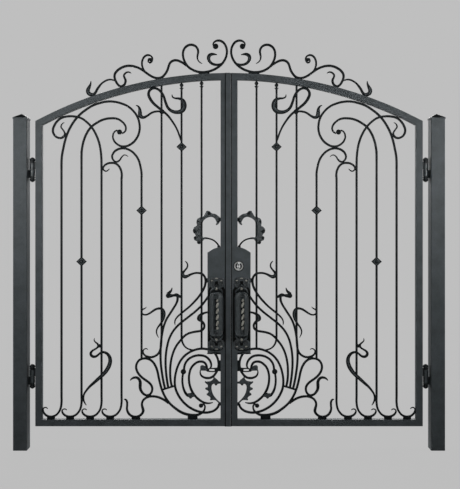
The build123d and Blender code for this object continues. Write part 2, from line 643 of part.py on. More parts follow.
def post(side):
    """Square post, from its foot to the cap."""
    return Pos(side * gate_middle, 0, post_height / 2) * Box(post_size, post_size, post_height)


def post_cap(side):
    """Pressed cap: a rim that laps the post and a low pyramid."""
    across_cap = post_size + 2 * cap_overhang
    rim = Pos(0, 0, post_height + cap_rim / 2) * Box(across_cap, across_cap, cap_rim)
    eaves = Plane.XY.offset(post_height + cap_rim) * Rectangle(across_cap, across_cap)
    peak = extrude(eaves, cap_peak, taper=math.degrees(math.atan(across_cap / 2 / cap_peak)) - 0.5)
    return Pos(side * gate_middle, 0, 0) * (rim + peak)


def cover_strip():
    """Flat strip on the street face, which covers the gap between the leaves up to the arch's top."""
    other_edge = strip_clearance - leaf_inner
    drawing = block(other_edge, leaf_inner + strip_lap, ground_gap, crown_height) & arch_disc
    return Pos(0, -(frame_face + strip_thickness / 2), 0) * upright(drawing, strip_thickness)


def joined(pieces):
    """Separate solids that share one node."""
    solids = [solid for piece in pieces for solid in piece.solids()]
    return solids[0] if len(solids) == 1 else Compound(children=solids)


leaf_nodes = {
    "outer_stile": [upright(outer_stile, tube)],
    "meeting_stile": [upright(meeting_stile, tube)],
    "bottom_rail": [upright(bottom_rail, tube)],
    "arched_rail": [upright(top_rail, tube)],
    "bars": [upright(bars, bar)],
    "corner_scrolls": [upright(corner_scrolls, bar)],
    "crown_branch": [upright(crown_branch, bar)],
    "acanthus_leaf": [upright(acanthus, bar)],
    "vines": [upright(vines, bar)],
    "fan_stems": [upright(fan, bar)],
    "ring_scroll": [upright(ring_scroll, bar)],
    "base_scrolls": [upright(base_scrolls, bar)],
    "crest": [upright(crest_scrolls, bar)],
    "collars": [collar(number, depth) for number, depth in collar_depths.items()],
    "finials": [finial(number) for number in finial_bars],
    "lock_box": [upright(lock_box, tube)],
    "handles": [handle(-1), handle(1)],
    "hinge_sockets": [hinge_socket(height) for height in hinge_heights],
}
left_nodes = {"cover_strip": [cover_strip()]}
right_nodes = {"lock_cylinder": [lock_cylinder(-1), lock_cylinder(1)]}
post_nodes = {
    "post": [post(1)],
    "post_cap": [post_cap(1)],
    "hinge_pins": [hinge_pin(height) for height in hinge_heights],
}


def placed(pieces, side):
    """Leaf pieces moved to the gate's middle: side is 1 for the right leaf, -1 for the left."""
    pieces = pieces if side > 0 else [mirror(piece, about=Plane.YZ) for piece in pieces]
    return joined([Pos(gate_middle, 0, 0) * piece for piece in pieces])


os.makedirs("parts", exist_ok=True)
for side, name, own in ((-1, "left", left_nodes), (1, "right", right_nodes)):
    for node, pieces in {**post_nodes, **leaf_nodes, **own}.items():
        export_step(placed(pieces, side), f"parts/{name}_{node}.step")
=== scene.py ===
"""Looks of a wrought iron driveway gate: forged scrollwork in tube frames between two posts."""

import math

import bmesh
import bpy
from mathutils import Matrix, Vector


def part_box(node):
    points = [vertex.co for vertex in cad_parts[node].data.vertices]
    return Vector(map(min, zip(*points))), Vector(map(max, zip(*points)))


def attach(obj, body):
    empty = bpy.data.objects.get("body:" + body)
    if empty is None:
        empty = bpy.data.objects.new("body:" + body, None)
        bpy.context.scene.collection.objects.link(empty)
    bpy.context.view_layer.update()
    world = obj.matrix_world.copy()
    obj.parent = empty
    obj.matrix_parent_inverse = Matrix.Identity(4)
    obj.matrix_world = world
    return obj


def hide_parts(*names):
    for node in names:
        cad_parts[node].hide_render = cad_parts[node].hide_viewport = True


bl_info = {
    "name": "Wrought iron driveway gate",
    "version": (1, 0, 0),
    "blender": (4, 5, 0),
    "location": "3D View > Sidebar > Gate",
    "description": "Forged scrollwork, tube frames, cast handles and hinges of a double driveway gate",
    "category": "Object",
}

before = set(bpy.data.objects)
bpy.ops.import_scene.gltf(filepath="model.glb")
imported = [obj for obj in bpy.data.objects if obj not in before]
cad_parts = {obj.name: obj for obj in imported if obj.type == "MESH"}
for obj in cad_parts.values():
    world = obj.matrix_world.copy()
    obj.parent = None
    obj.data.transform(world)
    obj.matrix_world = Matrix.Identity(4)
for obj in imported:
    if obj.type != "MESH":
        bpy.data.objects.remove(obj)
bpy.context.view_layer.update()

MM = 0.001
SIDES = {"left": -1, "right": 1}

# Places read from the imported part. Across a leaf, u is the distance out from the gate's middle.
POST_LOW, POST_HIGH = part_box("right_post")
LEFT_POST_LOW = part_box("left_post")[0]
STILE_LOW, STILE_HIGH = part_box("right_meeting_stile")
OUTER_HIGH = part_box("right_outer_stile")[1]
RAIL_LOW, RAIL_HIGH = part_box("right_bottom_rail")
ARCH_LOW, ARCH_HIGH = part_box("right_arched_rail")
BOX_LOW, BOX_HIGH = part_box("right_lock_box")
STRIP_LOW, STRIP_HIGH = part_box("left_cover_strip")

GATE_MIDDLE = (LEFT_POST_LOW.x + POST_HIGH.x) / 2
TUBE = STILE_HIGH.x - STILE_LOW.x
FRAME_FACE = STILE_HIGH.y
LEAF_INNER = STILE_LOW.x - GATE_MIDDLE
LEAF_OUTER = OUTER_HIGH.x - GATE_MIDDLE
PATTERN_INNER = LEAF_INNER + TUBE
PATTERN_OUTER = LEAF_OUTER - TUBE
GROUND_GAP = RAIL_LOW.z
RAIL_TOP = RAIL_HIGH.z
CROWN = ARCH_HIGH.z
ARCH_FALL = ARCH_HIGH.z - ARCH_LOW.z
ARCH_RADIUS = (ARCH_FALL**2 - TUBE**2 + LEAF_OUTER**2) / (2 * (ARCH_FALL - TUBE))
ARCH_CENTRE = CROWN - ARCH_RADIUS
LOCK_OUTER = BOX_HIGH.x - GATE_MIDDLE
LOCK_FOOT = BOX_LOW.z
# The top of the lock box falls away from the stile in a curve: the fall, and how much of it is left
# half way along.
LOCK_BROW, BROW_MIDDLE = 32 * MM, 0.68
LOCK_SHOULDER = BOX_HIGH.z - LOCK_BROW
HINGE_GAP = POST_LOW.x - OUTER_HIGH.x
HINGE_U = LEAF_OUTER + HINGE_GAP / 2

# The scroll drawings give heights in parts of the bar pitch and widths in parts of the bar.
BAR = 12 * MM
BAR_COUNT = 8
PARTS_PER_PITCH = 115.44
BAR_PITCH = (PATTERN_OUTER - PATTERN_INNER + BAR) / (BAR_COUNT + 1)
PITCH_PART = BAR_PITCH / PARTS_PER_PITCH
BAR_PART = BAR / 12
# Bars: rounding of their edges, and how far they run up into the arched rail.
BAR_EASE = 1.6 * MM
BAR_RUN_IN = 3 * MM
# The turned feet are a little thinner than the bars, so that the two never share a face.
FOOT_THINNER = 0.2 * MM
# Welds: half their thickness and the rounding of their edges.
WELD_HALF, WELD_EASE = 5 * MM, 1.5 * MM
# Forged leaves: half their thickness and the rounding of their edges, and how much thicker than a
# bar their raised middles are at the middle and at the tips.
LEAF_HALF, LEAF_EASE = 5.9 * MM, 4 * MM
RAISED, RAISED_TIP = 1.6 * MM, 0.8 * MM


def across(column):
    """Distance u of a bar column: bar 1 is next to the hinge stile, fractions lie between bars."""
    return PATTERN_INNER - BAR / 2 + (BAR_COUNT + 1 - column) * BAR_PITCH


def arch_over(u):
    """Height of the arched rail's top."""
    return ARCH_CENTRE + math.sqrt(ARCH_RADIUS**2 - u**2)


def arch_under(u):
    """Height of the arched rail's underside."""
    return ARCH_CENTRE + math.sqrt((ARCH_RADIUS - TUBE) ** 2 - u**2)


def low(column, height):
    """A point measured up from the top of the bottom rail."""
    return across(column), RAIL_TOP + height * PITCH_PART


def hung(column, depth):
    """A point measured down from the underside of the arched rail."""
    return across(column), arch_under(across(column)) - depth * PITCH_PART


def crest(column, height):
    """A point measured up from the top of the arched rail."""
    return across(column), arch_over(across(column)) + height * PITCH_PART


def by_lock(column, height):
    """A point measured up from the shoulder of the lock box."""
    return across(column), LOCK_SHOULDER + height * PITCH_PART


# Drawings of the scrollwork of one leaf. A stroke is a list of (column, height, width), a ball is
# (column, height, radius) and a weld is (column, column, height, height).
FOOT_TURN = [
    (0.0, 132, 12), (0.0, 95, 12), (-0.05, 60, 12), (-0.16, 36, 12), (-0.31, 20, 12), (-0.5, 14, 12),
    (-0.69, 17, 12), (-0.83, 28, 11), (-0.91, 43, 10), (-0.92, 56, 8), (-0.86, 65, 7), (-0.77, 66, 6),
    (-0.69, 59, 4),
]
FOOT_WELD = (-0.33, -0.72, 0, 16)
# The feet after the first lean back against the bar before them and curl a little lower.
FOOT_LEAN = -0.045
FOOT_SQUASH = 0.83
FOOT_BOTTOM = 14
TURNED_BARS = 4
BAR_FEET = {1: 130, 2: 130, 3: 130, 4: 130, 5: 344, 6: 470, 7: 470, 8: 400}
BAR_HEADS = {1: 255, 2: 250, 3: 385, 4: 480, 5: 500}
FINIAL_BARS = (7, 8)
FINIAL_HEIGHT = 40 * MM

# Corner scrolls: bars 1 to 5 run on as curves under the arch.
CORNER_SCROLLS_STROKES = [
    (hung, [
        (1.0, 305, 12), (1.0, 275, 12), (1.01, 245, 12), (1.04, 218, 12), (1.09, 192, 12),
        (1.17, 154, 12), (1.3, 115, 12), (1.47, 83, 12), (1.68, 56, 12), (1.91, 37, 12), (2.22, 22, 12),
        (2.57, 12, 12), (2.94, 12, 12), (3.32, 18, 12), (3.7, 34, 12), (4.02, 54, 12), (4.32, 79, 12),
        (4.6, 115, 12), (4.8, 155, 12), (4.9, 199, 12), (4.89, 239, 12), (4.76, 274, 12),
        (4.49, 300, 12), (4.11, 304, 12), (3.79, 281, 11), (3.6, 248, 10), (3.57, 222, 9),
        (3.66, 203, 8), (3.8, 200, 8),
    ]),
    (hung, [
        (2.0, 305, 12), (2.0, 278, 12), (2.01, 252, 12), (2.045, 225, 12), (2.11, 196, 12),
        (2.27, 158, 12), (2.47, 134, 12), (2.76, 120, 12), (3.11, 114, 12), (3.46, 120, 12),
        (3.78, 134, 12), (4.0, 155, 11), (4.17, 182, 11), (4.22, 204, 10), (4.16, 220, 9),
        (4.02, 226, 8),
    ]),
    (hung, [
        (3.0, 390, 12), (2.99, 330, 12), (2.95, 282, 12), (2.87, 236, 12), (2.73, 188, 12),
        (2.51, 136, 12), (2.24, 92, 12), (1.96, 58, 12), (1.63, 34, 12), (1.28, 17, 12), (0.98, 11, 12),
        (0.78, 19, 12), (0.64, 36, 12), (0.57, 60, 12), (0.63, 87, 12), (0.77, 110, 12),
        (0.96, 125, 12), (1.1, 124, 12), (1.17, 113, 11), (1.14, 99, 9), (1.05, 79, 8), (0.98, 63, 8),
        (1.0, 51, 7), (1.07, 45, 5), (1.14, 45, 3),
    ]),
    (hung, [
        (4.0, 490, 12), (4.01, 458, 12), (3.96, 432, 12), (3.85, 407, 12), (3.71, 390, 12),
        (3.48, 378, 12), (3.26, 376, 11), (3.12, 384, 10), (3.08, 397, 9), (3.14, 410, 8),
        (3.24, 417, 7), (3.33, 414, 6), (3.4, 409, 3),
    ]),
    (hung, [
        (5.0, 510, 12), (5.0, 485, 12), (4.95, 445, 12), (4.84, 400, 12), (4.67, 366, 12),
        (4.43, 336, 12), (4.2, 319, 12), (3.97, 311, 12), (3.72, 314, 12), (3.57, 328, 11),
        (3.53, 345, 11), (3.58, 363, 10), (3.69, 378, 10), (3.82, 381, 10), (3.93, 373, 9),
        (4.02, 360, 7), (4.14, 354, 6), (4.25, 360, 5), (4.33, 370, 3),
    ]),
]
CORNER_SCROLLS_BALLS = [
    (hung, 3.9, 214, 15),
]
CORNER_SCROLLS_WELDS = [
    (hung, 3.95, 4.24, 317, 302),
]

# Crown branch: a leafy branch on bar 7.
CROWN_BRANCH_STROKES = [
    (hung, [
        (6.97, 332, 9), (6.9, 306, 10), (6.74, 258, 10), (6.54, 217, 11), (6.3, 177, 12),
        (6.05, 147, 13), (5.8, 119, 14), (5.57, 90, 15), (5.41, 59, 16), (5.35, 34, 15), (5.42, 14, 14),
        (5.6, 7, 13), (5.8, 16, 13), (5.97, 36, 13), (6.1, 62, 13), (6.2, 100, 14), (6.34, 137, 15),
        (6.54, 158, 17), (6.78, 167, 20), (7.0, 163, 24), (7.12, 145, 26), (7.13, 122, 24),
        (7.04, 100, 18), (6.85, 89, 12), (6.66, 84, 9), (6.55, 75, 8), (6.52, 61, 4),
    ]),
    (hung, [
        (6.1, 160, 8), (5.94, 149, 10), (5.7, 144, 11), (5.5, 147, 11), (5.26, 160, 12),
        (5.07, 163, 16), (4.95, 152, 22), (4.92, 130, 21), (4.9, 108, 14), (4.82, 92, 9), (4.72, 84, 4),
    ]),
]
CROWN_BRANCH_FILLS = [
    (hung, [
        (6.4, 147, 6), (6.56, 159, 9), (6.78, 166, 12), (6.98, 162, 16), (7.1, 145, 18),
        (7.11, 123, 16), (7.03, 102, 10), (6.9, 92, 5),
    ]),
    (hung, [(5.14, 162, 6), (5.03, 160, 10), (4.95, 149, 14), (4.92, 130, 13), (4.9, 112, 7)]),
]

# Stem of the acanthus leaf.
ACANTHUS_LEAF_STROKES = [
    (by_lock, [
        (8.04, 79, 13), (8.2, 82, 11), (8.38, 79, 9), (8.56, 72, 9), (8.7, 61, 9), (8.8, 48, 10),
        (8.87, 34, 10), (8.91, 24, 9),
    ]),
]

# Vines: three winding leaves between the bars.
VINES_STROKES = [
    (low, [
        (2.24, 79, 4), (2.16, 93, 8), (2.1, 112, 10), (2.12, 140, 10), (2.23, 162, 11), (2.4, 186, 13),
        (2.62, 209, 16), (2.85, 233, 18), (3.08, 257, 20), (3.27, 284, 22), (3.4, 315, 22),
        (3.43, 343, 20), (3.36, 366, 17), (3.2, 382, 14), (3.03, 385, 12), (2.9, 377, 11),
        (2.78, 365, 12), (2.64, 359, 14), (2.51, 364, 15), (2.46, 378, 14), (2.52, 391, 12),
        (2.65, 401, 10), (2.78, 411, 10), (2.84, 422, 14), (2.8, 433, 10), (2.7, 443, 8),
        (2.63, 454, 6), (2.65, 466, 3),
    ]),
    (low, [
        (5.25, 646, 3), (5.15, 637, 7), (5.04, 630, 9), (5.0, 617, 9), (5.06, 605, 9), (5.2, 601, 9),
        (5.36, 607, 10), (5.52, 619, 11), (5.68, 631, 12), (5.83, 637, 12), (5.98, 636, 14),
        (6.08, 626, 16), (6.12, 607, 18), (6.1, 585, 16), (6.04, 566, 12), (5.93, 546, 11),
        (5.82, 529, 9), (5.75, 510, 8), (5.76, 491, 7), (5.85, 469, 3),
    ]),
    (low, [
        (7.17, 911, 4), (7.25, 903, 7), (7.3, 889, 8), (7.28, 875, 9), (7.18, 859, 10), (7.08, 844, 13),
        (7.07, 830, 18), (7.16, 821, 20), (7.29, 824, 15), (7.46, 834, 12), (7.65, 841, 11),
        (7.84, 842, 11), (8.02, 837, 12), (8.14, 823, 12), (8.2, 803, 13), (8.19, 780, 13),
        (8.13, 757, 12), (8.02, 733, 12), (7.88, 709, 12), (7.66, 679, 12), (7.4, 649, 11),
        (7.15, 625, 11), (6.95, 606, 10), (6.79, 589, 9), (6.69, 572, 8), (6.66, 556, 7),
        (6.68, 541, 3),
    ]),
]
VINES_FILLS = [
    (low, [
        (2.72, 219, 6), (2.9, 238, 9), (3.08, 257, 12), (3.27, 284, 14), (3.4, 315, 14),
        (3.43, 340, 11), (3.38, 360, 7),
    ]),
    (low, [(6.04, 631, 6), (6.1, 618, 10), (6.12, 602, 11), (6.09, 584, 8), (6.05, 570, 4)]),
    (low, [(7.08, 842, 6), (7.08, 830, 11), (7.16, 822, 12), (7.27, 824, 7), (7.36, 829, 4)]),
]
VINES_WELDS = [(low, 2.84, 3.0, 412, 432), (low, 2.0, 2.1, 102, 130), (low, 8.2, 8.4, 787, 812)]

# Fan stems: long stems that rise from a slanted band to the lock box.
FAN_STEMS_STROKES = [
    (low, [
        (6.17, 176, 12), (6.1, 212, 12), (6.02, 265, 12), (5.96, 325, 12), (5.95, 390, 12),
        (5.98, 450, 12), (6.05, 505, 12), (6.13, 542, 12), (6.26, 578, 12), (6.43, 609, 12),
        (6.59, 638, 12), (6.73, 665, 12), (6.8, 690, 13), (6.79, 708, 12),
    ]),
    (low, [
        (6.96, 703, 12), (6.86, 709, 16), (6.74, 715, 19), (6.6, 713, 13), (6.48, 711, 18),
        (6.38, 711, 22), (6.3, 712, 18), (6.24, 713, 8),
    ]),
    (low, [(6.3, 720, 18), (6.4, 730, 16), (6.48, 741, 11), (6.53, 757, 4)]),
    (low, [
        (6.33, 182, 12), (6.27, 225, 12), (6.22, 275, 12), (6.2, 325, 12), (6.22, 375, 12),
        (6.29, 425, 12), (6.4, 468, 12), (6.6, 510, 12), (6.8, 537, 12), (7.0, 558, 12), (7.2, 576, 12),
        (7.4, 594, 12), (7.6, 612, 12), (7.8, 632, 12), (8.0, 655, 12), (8.16, 678, 12),
        (8.34, 708, 12),
    ]),
    (low, [
        (6.51, 188, 12), (6.45, 225, 12), (6.43, 275, 12), (6.46, 325, 12), (6.55, 372, 12),
        (6.72, 418, 12), (6.93, 451, 12), (7.1, 474, 12), (7.3, 491, 12), (7.5, 499, 12),
        (7.72, 504, 12), (7.92, 508, 12), (8.07, 517, 12), (8.14, 534, 12), (8.1, 552, 12),
        (7.98, 566, 14), (7.88, 578, 24), (7.92, 595, 20), (8.04, 606, 13), (8.18, 613, 11),
        (8.36, 616, 10),
    ]),
    (low, [(6.0, 168, 10), (6.2, 175, 10), (6.45, 184, 10), (6.7, 192, 10)]),
]
# Raised middles of the leafy swellings, in the paler coat as painted highlight.
FAN_STEMS_FILLS = [
    (low, [(6.5, 712, 7), (6.4, 711, 13), (6.3, 711, 12), (6.25, 712, 5)]),
    (low, [(7.98, 566, 5), (7.9, 576, 12), (7.91, 590, 11), (7.99, 602, 5)]),
]
FAN_STEMS_BALLS = [
    (low, 6.33, 711, 14),
]

# Ring scroll: the great ring beside the meeting stile and what it holds.
RING_SCROLL_STROKES = [
    (low, [
        (7.94, 284, 5), (7.935, 264, 8), (8.0, 249, 10), (8.147, 239, 11), (8.294, 236, 12),
        (8.465, 239, 12), (8.6, 249, 12), (8.7, 263, 12), (8.785, 280, 12), (8.84, 302, 12),
        (8.84, 330, 12), (8.77, 358, 12), (8.64, 381, 12), (8.45, 396, 12), (8.2, 404, 12),
        (7.92, 405, 12), (7.6, 396, 12), (7.3, 378, 12), (7.03, 349, 12), (6.84, 312, 12),
        (6.71, 265, 12), (6.66, 220, 12), (6.69, 180, 12), (6.8, 146, 12), (6.99, 111, 12),
        (7.25, 80, 12), (7.55, 57, 12), (7.85, 43, 12), (8.15, 37, 12), (8.45, 41, 12), (8.67, 52, 12),
        (8.81, 68, 12), (8.87, 84, 13),
    ]),
    (low, [
        (7.12, 286, 12), (7.16, 312, 12), (7.28, 337, 12), (7.47, 355, 12), (7.7, 365, 12),
        (7.95, 367, 12), (8.18, 361, 12), (8.36, 345, 12), (8.46, 325, 11), (8.48, 305, 10),
        (8.42, 290, 8),
    ]),
    (low, [
        (7.07, 262, 11), (7.04, 230, 11), (7.06, 195, 11), (7.12, 168, 12), (7.21, 148, 13),
        (7.32, 136, 15), (7.42, 136, 14),
    ]),
    (low, [
        (8.27, 290, 12), (8.25, 304, 12), (8.2, 318, 12), (8.12, 327, 12), (8.0, 331, 12),
        (7.82, 329, 12), (7.64, 316, 12), (7.48, 294, 12), (7.39, 262, 12), (7.37, 228, 12),
        (7.42, 190, 12), (7.54, 156, 13), (7.7, 130, 12), (7.86, 113, 12), (8.04, 99, 11),
        (8.22, 92, 10), (8.4, 91, 8), (8.57, 95, 4),
    ]),
    (low, [
        (8.25, 283, 8), (8.34, 288, 7), (8.46, 291, 6), (8.62, 291, 7), (8.74, 291, 9), (8.84, 292, 10),
    ]),
    (low, [
        (8.24, 280, 7), (8.34, 276, 7), (8.46, 274, 6), (8.62, 274, 6), (8.72, 277, 8), (8.79, 284, 10),
    ]),
    (low, [(8.61, 253, 10), (8.615, 243, 7), (8.64, 228, 4)]),
    (low, [(8.84, 90, 12), (8.92, 86, 14), (9.0, 84, 16)]),
    (low, [(8.28, 376, 3), (8.33, 379, 9), (8.42, 381, 10), (8.5, 385, 7), (8.56, 388, 4)]),
    (low, [(8.6, 388, 4), (8.68, 383, 7), (8.78, 379, 10), (8.88, 379, 11), (8.98, 377, 9)]),
    (low, [
        (7.0, 478, 12), (7.03, 448, 10), (7.12, 425, 9), (7.26, 409, 8), (7.42, 401, 8), (7.6, 398, 6),
    ]),
]
# Leaf forms cut from thicker plate: (column, height, smooth) round each outline.
RING_SCROLL_LEAVES = [
    [
        (7.934, 279, False), (7.934, 300, True), (7.955, 308, True), (8.05, 310, True),
        (8.16, 306, True), (8.22, 297, True), (8.27, 288, True), (8.32, 278, False),
    ],
    [
        (7.25, 144, True), (7.386, 149, True), (7.497, 151, True), (7.6, 149, False),
        (7.69, 136, False), (7.681, 126, False), (7.57, 127, True), (7.514, 122, True),
        (7.448, 117, True), (7.374, 123, True), (7.3, 134, True),
    ],
    [
        (9.0, 216, False), (8.87, 217, True), (8.8, 226, True), (8.72, 234, True), (8.66, 238, True),
        (8.6, 236, True), (8.563, 229, True), (8.49, 222, True), (8.392, 218, True), (8.27, 216, True),
        (8.18, 213, True), (8.22, 204.5, True), (8.294, 198, True), (8.313, 191, True),
        (8.289, 184, True), (8.225, 181, True), (8.205, 175, True), (8.245, 168, True),
        (8.306, 164, True), (8.34, 159, True), (8.33, 153, True), (8.28, 148, True), (8.275, 140, True),
        (8.343, 133, True), (8.42, 126, True), (8.445, 118, True), (8.44, 109, False),
        (8.56, 109, True), (8.686, 108, True), (8.784, 99, True), (8.88, 88, False), (8.97, 84, False),
        (8.96, 94, True), (8.895, 99, True), (8.81, 108, True), (8.7, 122, True), (8.6, 138, True),
        (8.54, 153, True), (8.507, 170, True), (8.497, 184, True), (8.527, 196, True),
        (8.612, 203, True), (8.674, 199, True), (8.723, 195, True), (8.772, 199, True),
        (8.846, 203, True), (9.0, 204, False),
    ],
]
RING_SCROLL_LEAF_KNOBS = [
    (low, 8.24, 175, 7), (low, 8.31, 142, 7), (low, 8.47, 113, 6), (low, 8.2, 213, 5),
    (low, 8.72, 201, 8), (low, 7.3, 141, 6), (low, 8.31, 281, 9), (low, 8.72, 283, 9),
]
RING_SCROLL_BALLS = [
    (low, 7.09, 273, 16),
]
RING_SCROLL_WELDS = [
    (low, 8.83, 9.0, 276, 338),
]

# Base scrolls: pear-shaped loop, foot and long tail on the bottom rail.
BASE_SCROLLS_STROKES = [
    (low, [
        (4.43, 222, 4), (4.5, 231, 9), (4.61, 238, 12), (4.74, 239, 13), (4.86, 231, 14),
        (4.93, 214, 16), (4.93, 194, 17), (4.94, 174, 15), (5.01, 157, 13), (5.11, 144, 12),
        (5.24, 137, 12), (5.37, 139, 12), (5.47, 149, 12), (5.53, 166, 12), (5.52, 185, 12),
        (5.43, 203, 12), (5.27, 219, 12), (5.14, 229, 12),
    ]),
    (low, [
        (5.27, 219, 12), (5.14, 229, 12), (4.98, 244, 12), (4.85, 261, 12), (4.76, 281, 12),
        (4.73, 303, 12), (4.79, 326, 12), (4.92, 342, 12), (5.1, 349, 12), (5.32, 347, 12),
        (5.52, 334, 12), (5.68, 309, 12), (5.79, 276, 12), (5.86, 238, 12), (5.93, 203, 12),
        (6.02, 168, 12), (6.14, 136, 12), (6.29, 107, 12), (6.48, 82, 12), (6.72, 59, 13),
        (7.0, 38, 14), (7.3, 26, 14), (7.6, 22, 14), (7.84, 25, 13), (8.02, 36, 12),
    ]),
    (low, [(7.95, 31, 12), (8.09, 44, 11), (8.16, 61, 10), (8.15, 79, 9), (8.04, 88, 8)]),
    (low, [
        (4.12, 114, 4), (4.2, 112, 9), (4.27, 100, 11), (4.28, 80, 11), (4.27, 58, 11), (4.32, 39, 12),
        (4.42, 24, 12), (4.56, 15, 12), (4.71, 13, 12), (4.86, 17, 12), (5.0, 28, 13), (5.08, 45, 15),
        (5.06, 62, 14), (5.02, 80, 12), (5.04, 98, 12), (5.13, 114, 12), (5.26, 124, 12),
        (5.44, 130, 12), (5.64, 130, 12), (5.85, 125, 12), (6.05, 115, 12), (6.22, 103, 12),
        (6.36, 91, 12),
    ]),
    (low, [
        (6.0, 480, 12), (5.98, 435, 12), (5.94, 402, 12), (5.84, 378, 12), (5.69, 364, 12),
        (5.5, 357, 12), (5.31, 359, 12), (5.16, 368, 10), (5.08, 382, 9), (5.09, 396, 7),
        (5.18, 405, 6), (5.26, 405, 5), (5.32, 400, 3),
    ]),
]
BASE_SCROLLS_BALLS = [
    (low, 7.97, 77, 13),
]
BASE_SCROLLS_WELDS = [(low, 5.18, 5.4, 345, 358), (low, 4.5, 4.93, 0, 16), (low, 7.3, 7.8, 0, 24)]

# Crest: scrolls that stand on the arched rail.
CREST_STROKES = [
    (crest, [
        (2.47, 92, 4), (2.45, 76, 9), (2.38, 60, 16), (2.32, 45, 20), (2.35, 29, 21), (2.45, 16, 20),
        (2.58, 10, 16), (2.69, 16, 13), (2.78, 32, 12), (2.88, 45, 11), (3.0, 57, 8.6), (3.14, 64, 8.6),
        (3.32, 67, 8.6), (3.48, 63, 8), (3.62, 54, 7.6), (3.74, 50, 7.6),
    ]),
    (crest, [
        (4.48, 68, 4), (4.4, 76, 7), (4.29, 80, 8), (4.18, 76, 9), (4.12, 66, 10), (4.15, 52, 11),
        (4.2, 36, 12), (4.18, 20, 12), (4.09, 9, 12), (3.96, 8, 12), (3.84, 20, 12), (3.73, 42, 12),
        (3.66, 65, 12), (3.66, 86, 12), (3.76, 102, 12), (3.95, 113, 12), (4.2, 117, 12),
        (4.45, 112, 12), (4.72, 98, 12), (4.98, 78, 12), (5.2, 55, 12), (5.42, 32, 12), (5.62, 16, 12),
        (5.82, 8, 12), (6.02, 10, 12), (6.18, 25, 12), (6.29, 44, 12), (6.36, 68, 12), (6.44, 86, 12),
        (6.58, 95, 12), (6.76, 94, 12), (6.96, 83, 12), (7.16, 66, 12), (7.32, 50, 11),
    ]),
    (crest, [
        (5.22, 52, 11), (5.12, 68, 11), (5.05, 88, 10), (5.02, 108, 10), (5.05, 130, 10),
        (5.15, 147, 10), (5.3, 152, 10), (5.44, 145, 9), (5.53, 132, 9), (5.54, 120, 9), (5.5, 110, 9),
        (5.42, 106, 9), (5.345, 112, 8), (5.335, 124, 7), (5.38, 134, 4),
    ]),
    (crest, [
        (8.03, 61, 3), (7.92, 69, 6), (7.83, 81, 7), (7.79, 98, 9), (7.81, 116, 11), (7.83, 132, 12),
        (7.78, 152, 12), (7.66, 167, 12), (7.47, 175, 12), (7.27, 170, 12), (7.13, 154, 12),
        (7.07, 130, 12), (7.09, 104, 12), (7.18, 76, 12), (7.32, 51, 12), (7.52, 32, 12),
        (7.74, 19, 12), (8.0, 12, 12), (8.25, 12, 12), (8.52, 19, 12), (8.78, 33, 12), (9.0, 53, 12),
        (9.16, 78, 12), (9.25, 106, 12), (9.26, 135, 12), (9.18, 163, 12), (9.03, 183, 12),
        (8.84, 190, 11), (8.66, 184, 9), (8.58, 171, 8), (8.6, 158, 6), (8.67, 152, 4),
    ]),
    (crest, [
        (9.02, 56, 10), (8.86, 51, 11), (8.7, 51, 12), (8.54, 57, 13), (8.41, 70, 15), (8.35, 87, 18),
        (8.38, 104, 18), (8.5, 112, 15), (8.63, 112, 10), (8.78, 108, 3),
    ]),
]
CREST_FILLS = [
    (crest, [
        (2.43, 76, 3), (2.38, 60, 9), (2.32, 45, 13), (2.35, 29, 14), (2.45, 17, 13), (2.58, 12, 9),
        (2.66, 17, 5),
    ]),
    (crest, [(8.5, 60, 5), (8.42, 71, 8), (8.36, 87, 11), (8.39, 101, 10), (8.49, 109, 6)]),
]
CREST_BALLS = [
    (crest, 5.44, 123, 10),
    (crest, 8.7, 157, 16.5),
]
CREST_WELDS = [
    (crest, 7.85, 8.4, -4, 14), (crest, 5.75, 6.1, -4, 11),
]

# Shapes of the castings, in millimetres, each turned about its own axis: (radius, height).
FINIAL_PROFILE = [
    (0, -2), (7, -2), (7.4, 4), (9, 5.4), (11.8, 6.6), (12.2, 7.8), (11.8, 9), (9, 10.4), (6, 12),
    (5.4, 14), (6.2, 16.4), (9.2, 19), (11.6, 22.6), (11.8, 26), (10.2, 30.4), (7, 33.8), (5, 36),
    (4.8, 38.5), (6, 41), (6.6, 43.5), (5, 45), (0, 45),
]
KNUCKLE_PROFILE = [(0, 0), (13.4, 0), (14.8, 1.2), (14.8, 37.4), (12.6, 38.6), (0, 38.6)]
ACORN_PROFILE = [
    (0, 38), (12.6, 38), (12.6, 41), (15.4, 42), (15.9, 44.4), (15.4, 47), (12.4, 48.4), (12.4, 50),
    (15, 51.6), (15.8, 55.4), (15.2, 60.4), (12.6, 65), (9, 67.8), (6.2, 68.8), (5.8, 70), (3.8, 71),
    (0, 71.2),
]
# Collars: rim round the raised face, half the rim's thickness, rounding of the edges, and where the
# face starts and ends.
COLLAR_EDGE = 4.5 * MM
COLLAR_HALF, COLLAR_EASE = 6 * MM, 0.8 * MM
COLLAR_FACE_FOOT, COLLAR_FACE_HEAD, COLLAR_TAPER = 5 * MM, 10 * MM, 0.42
COLLAR_RING = [(4.5, 6), (10.5, 6), (10.5, 10.4), (9, 11.2), (6, 11.2), (4.5, 10), (4.5, 6)]
COLLAR_BOSS = [(0, 8), (4.8, 8), (4.8, 12), (4, 13), (2.2, 13.8), (0, 14)]
ESCUTCHEON_PROFILE = [(0, -0.5), (31, -0.5), (31, 1.2), (30, 2.3), (27.4, 2.6), (26.6, 1.6), (0, 1.6)]
CYLINDER_RIM = [(18.5, 1), (26, 1), (26, 5.2), (25, 6.6), (20.5, 6.8), (19.2, 6), (18.5, 1)]
CYLINDER_PLUG = [(0, 1), (11.4, 1), (11.4, 6), (10.6, 6.8), (0, 6.9)]
# Handles: middle height, distance out from the gate's middle, rosettes' reach and half the grip.
HANDLE_MIDDLE = 783 * MM
HANDLE_OFFSET = 72 * MM
ROSETTE_REACH = 171 * MM
GRIP_HALF = 120 * MM
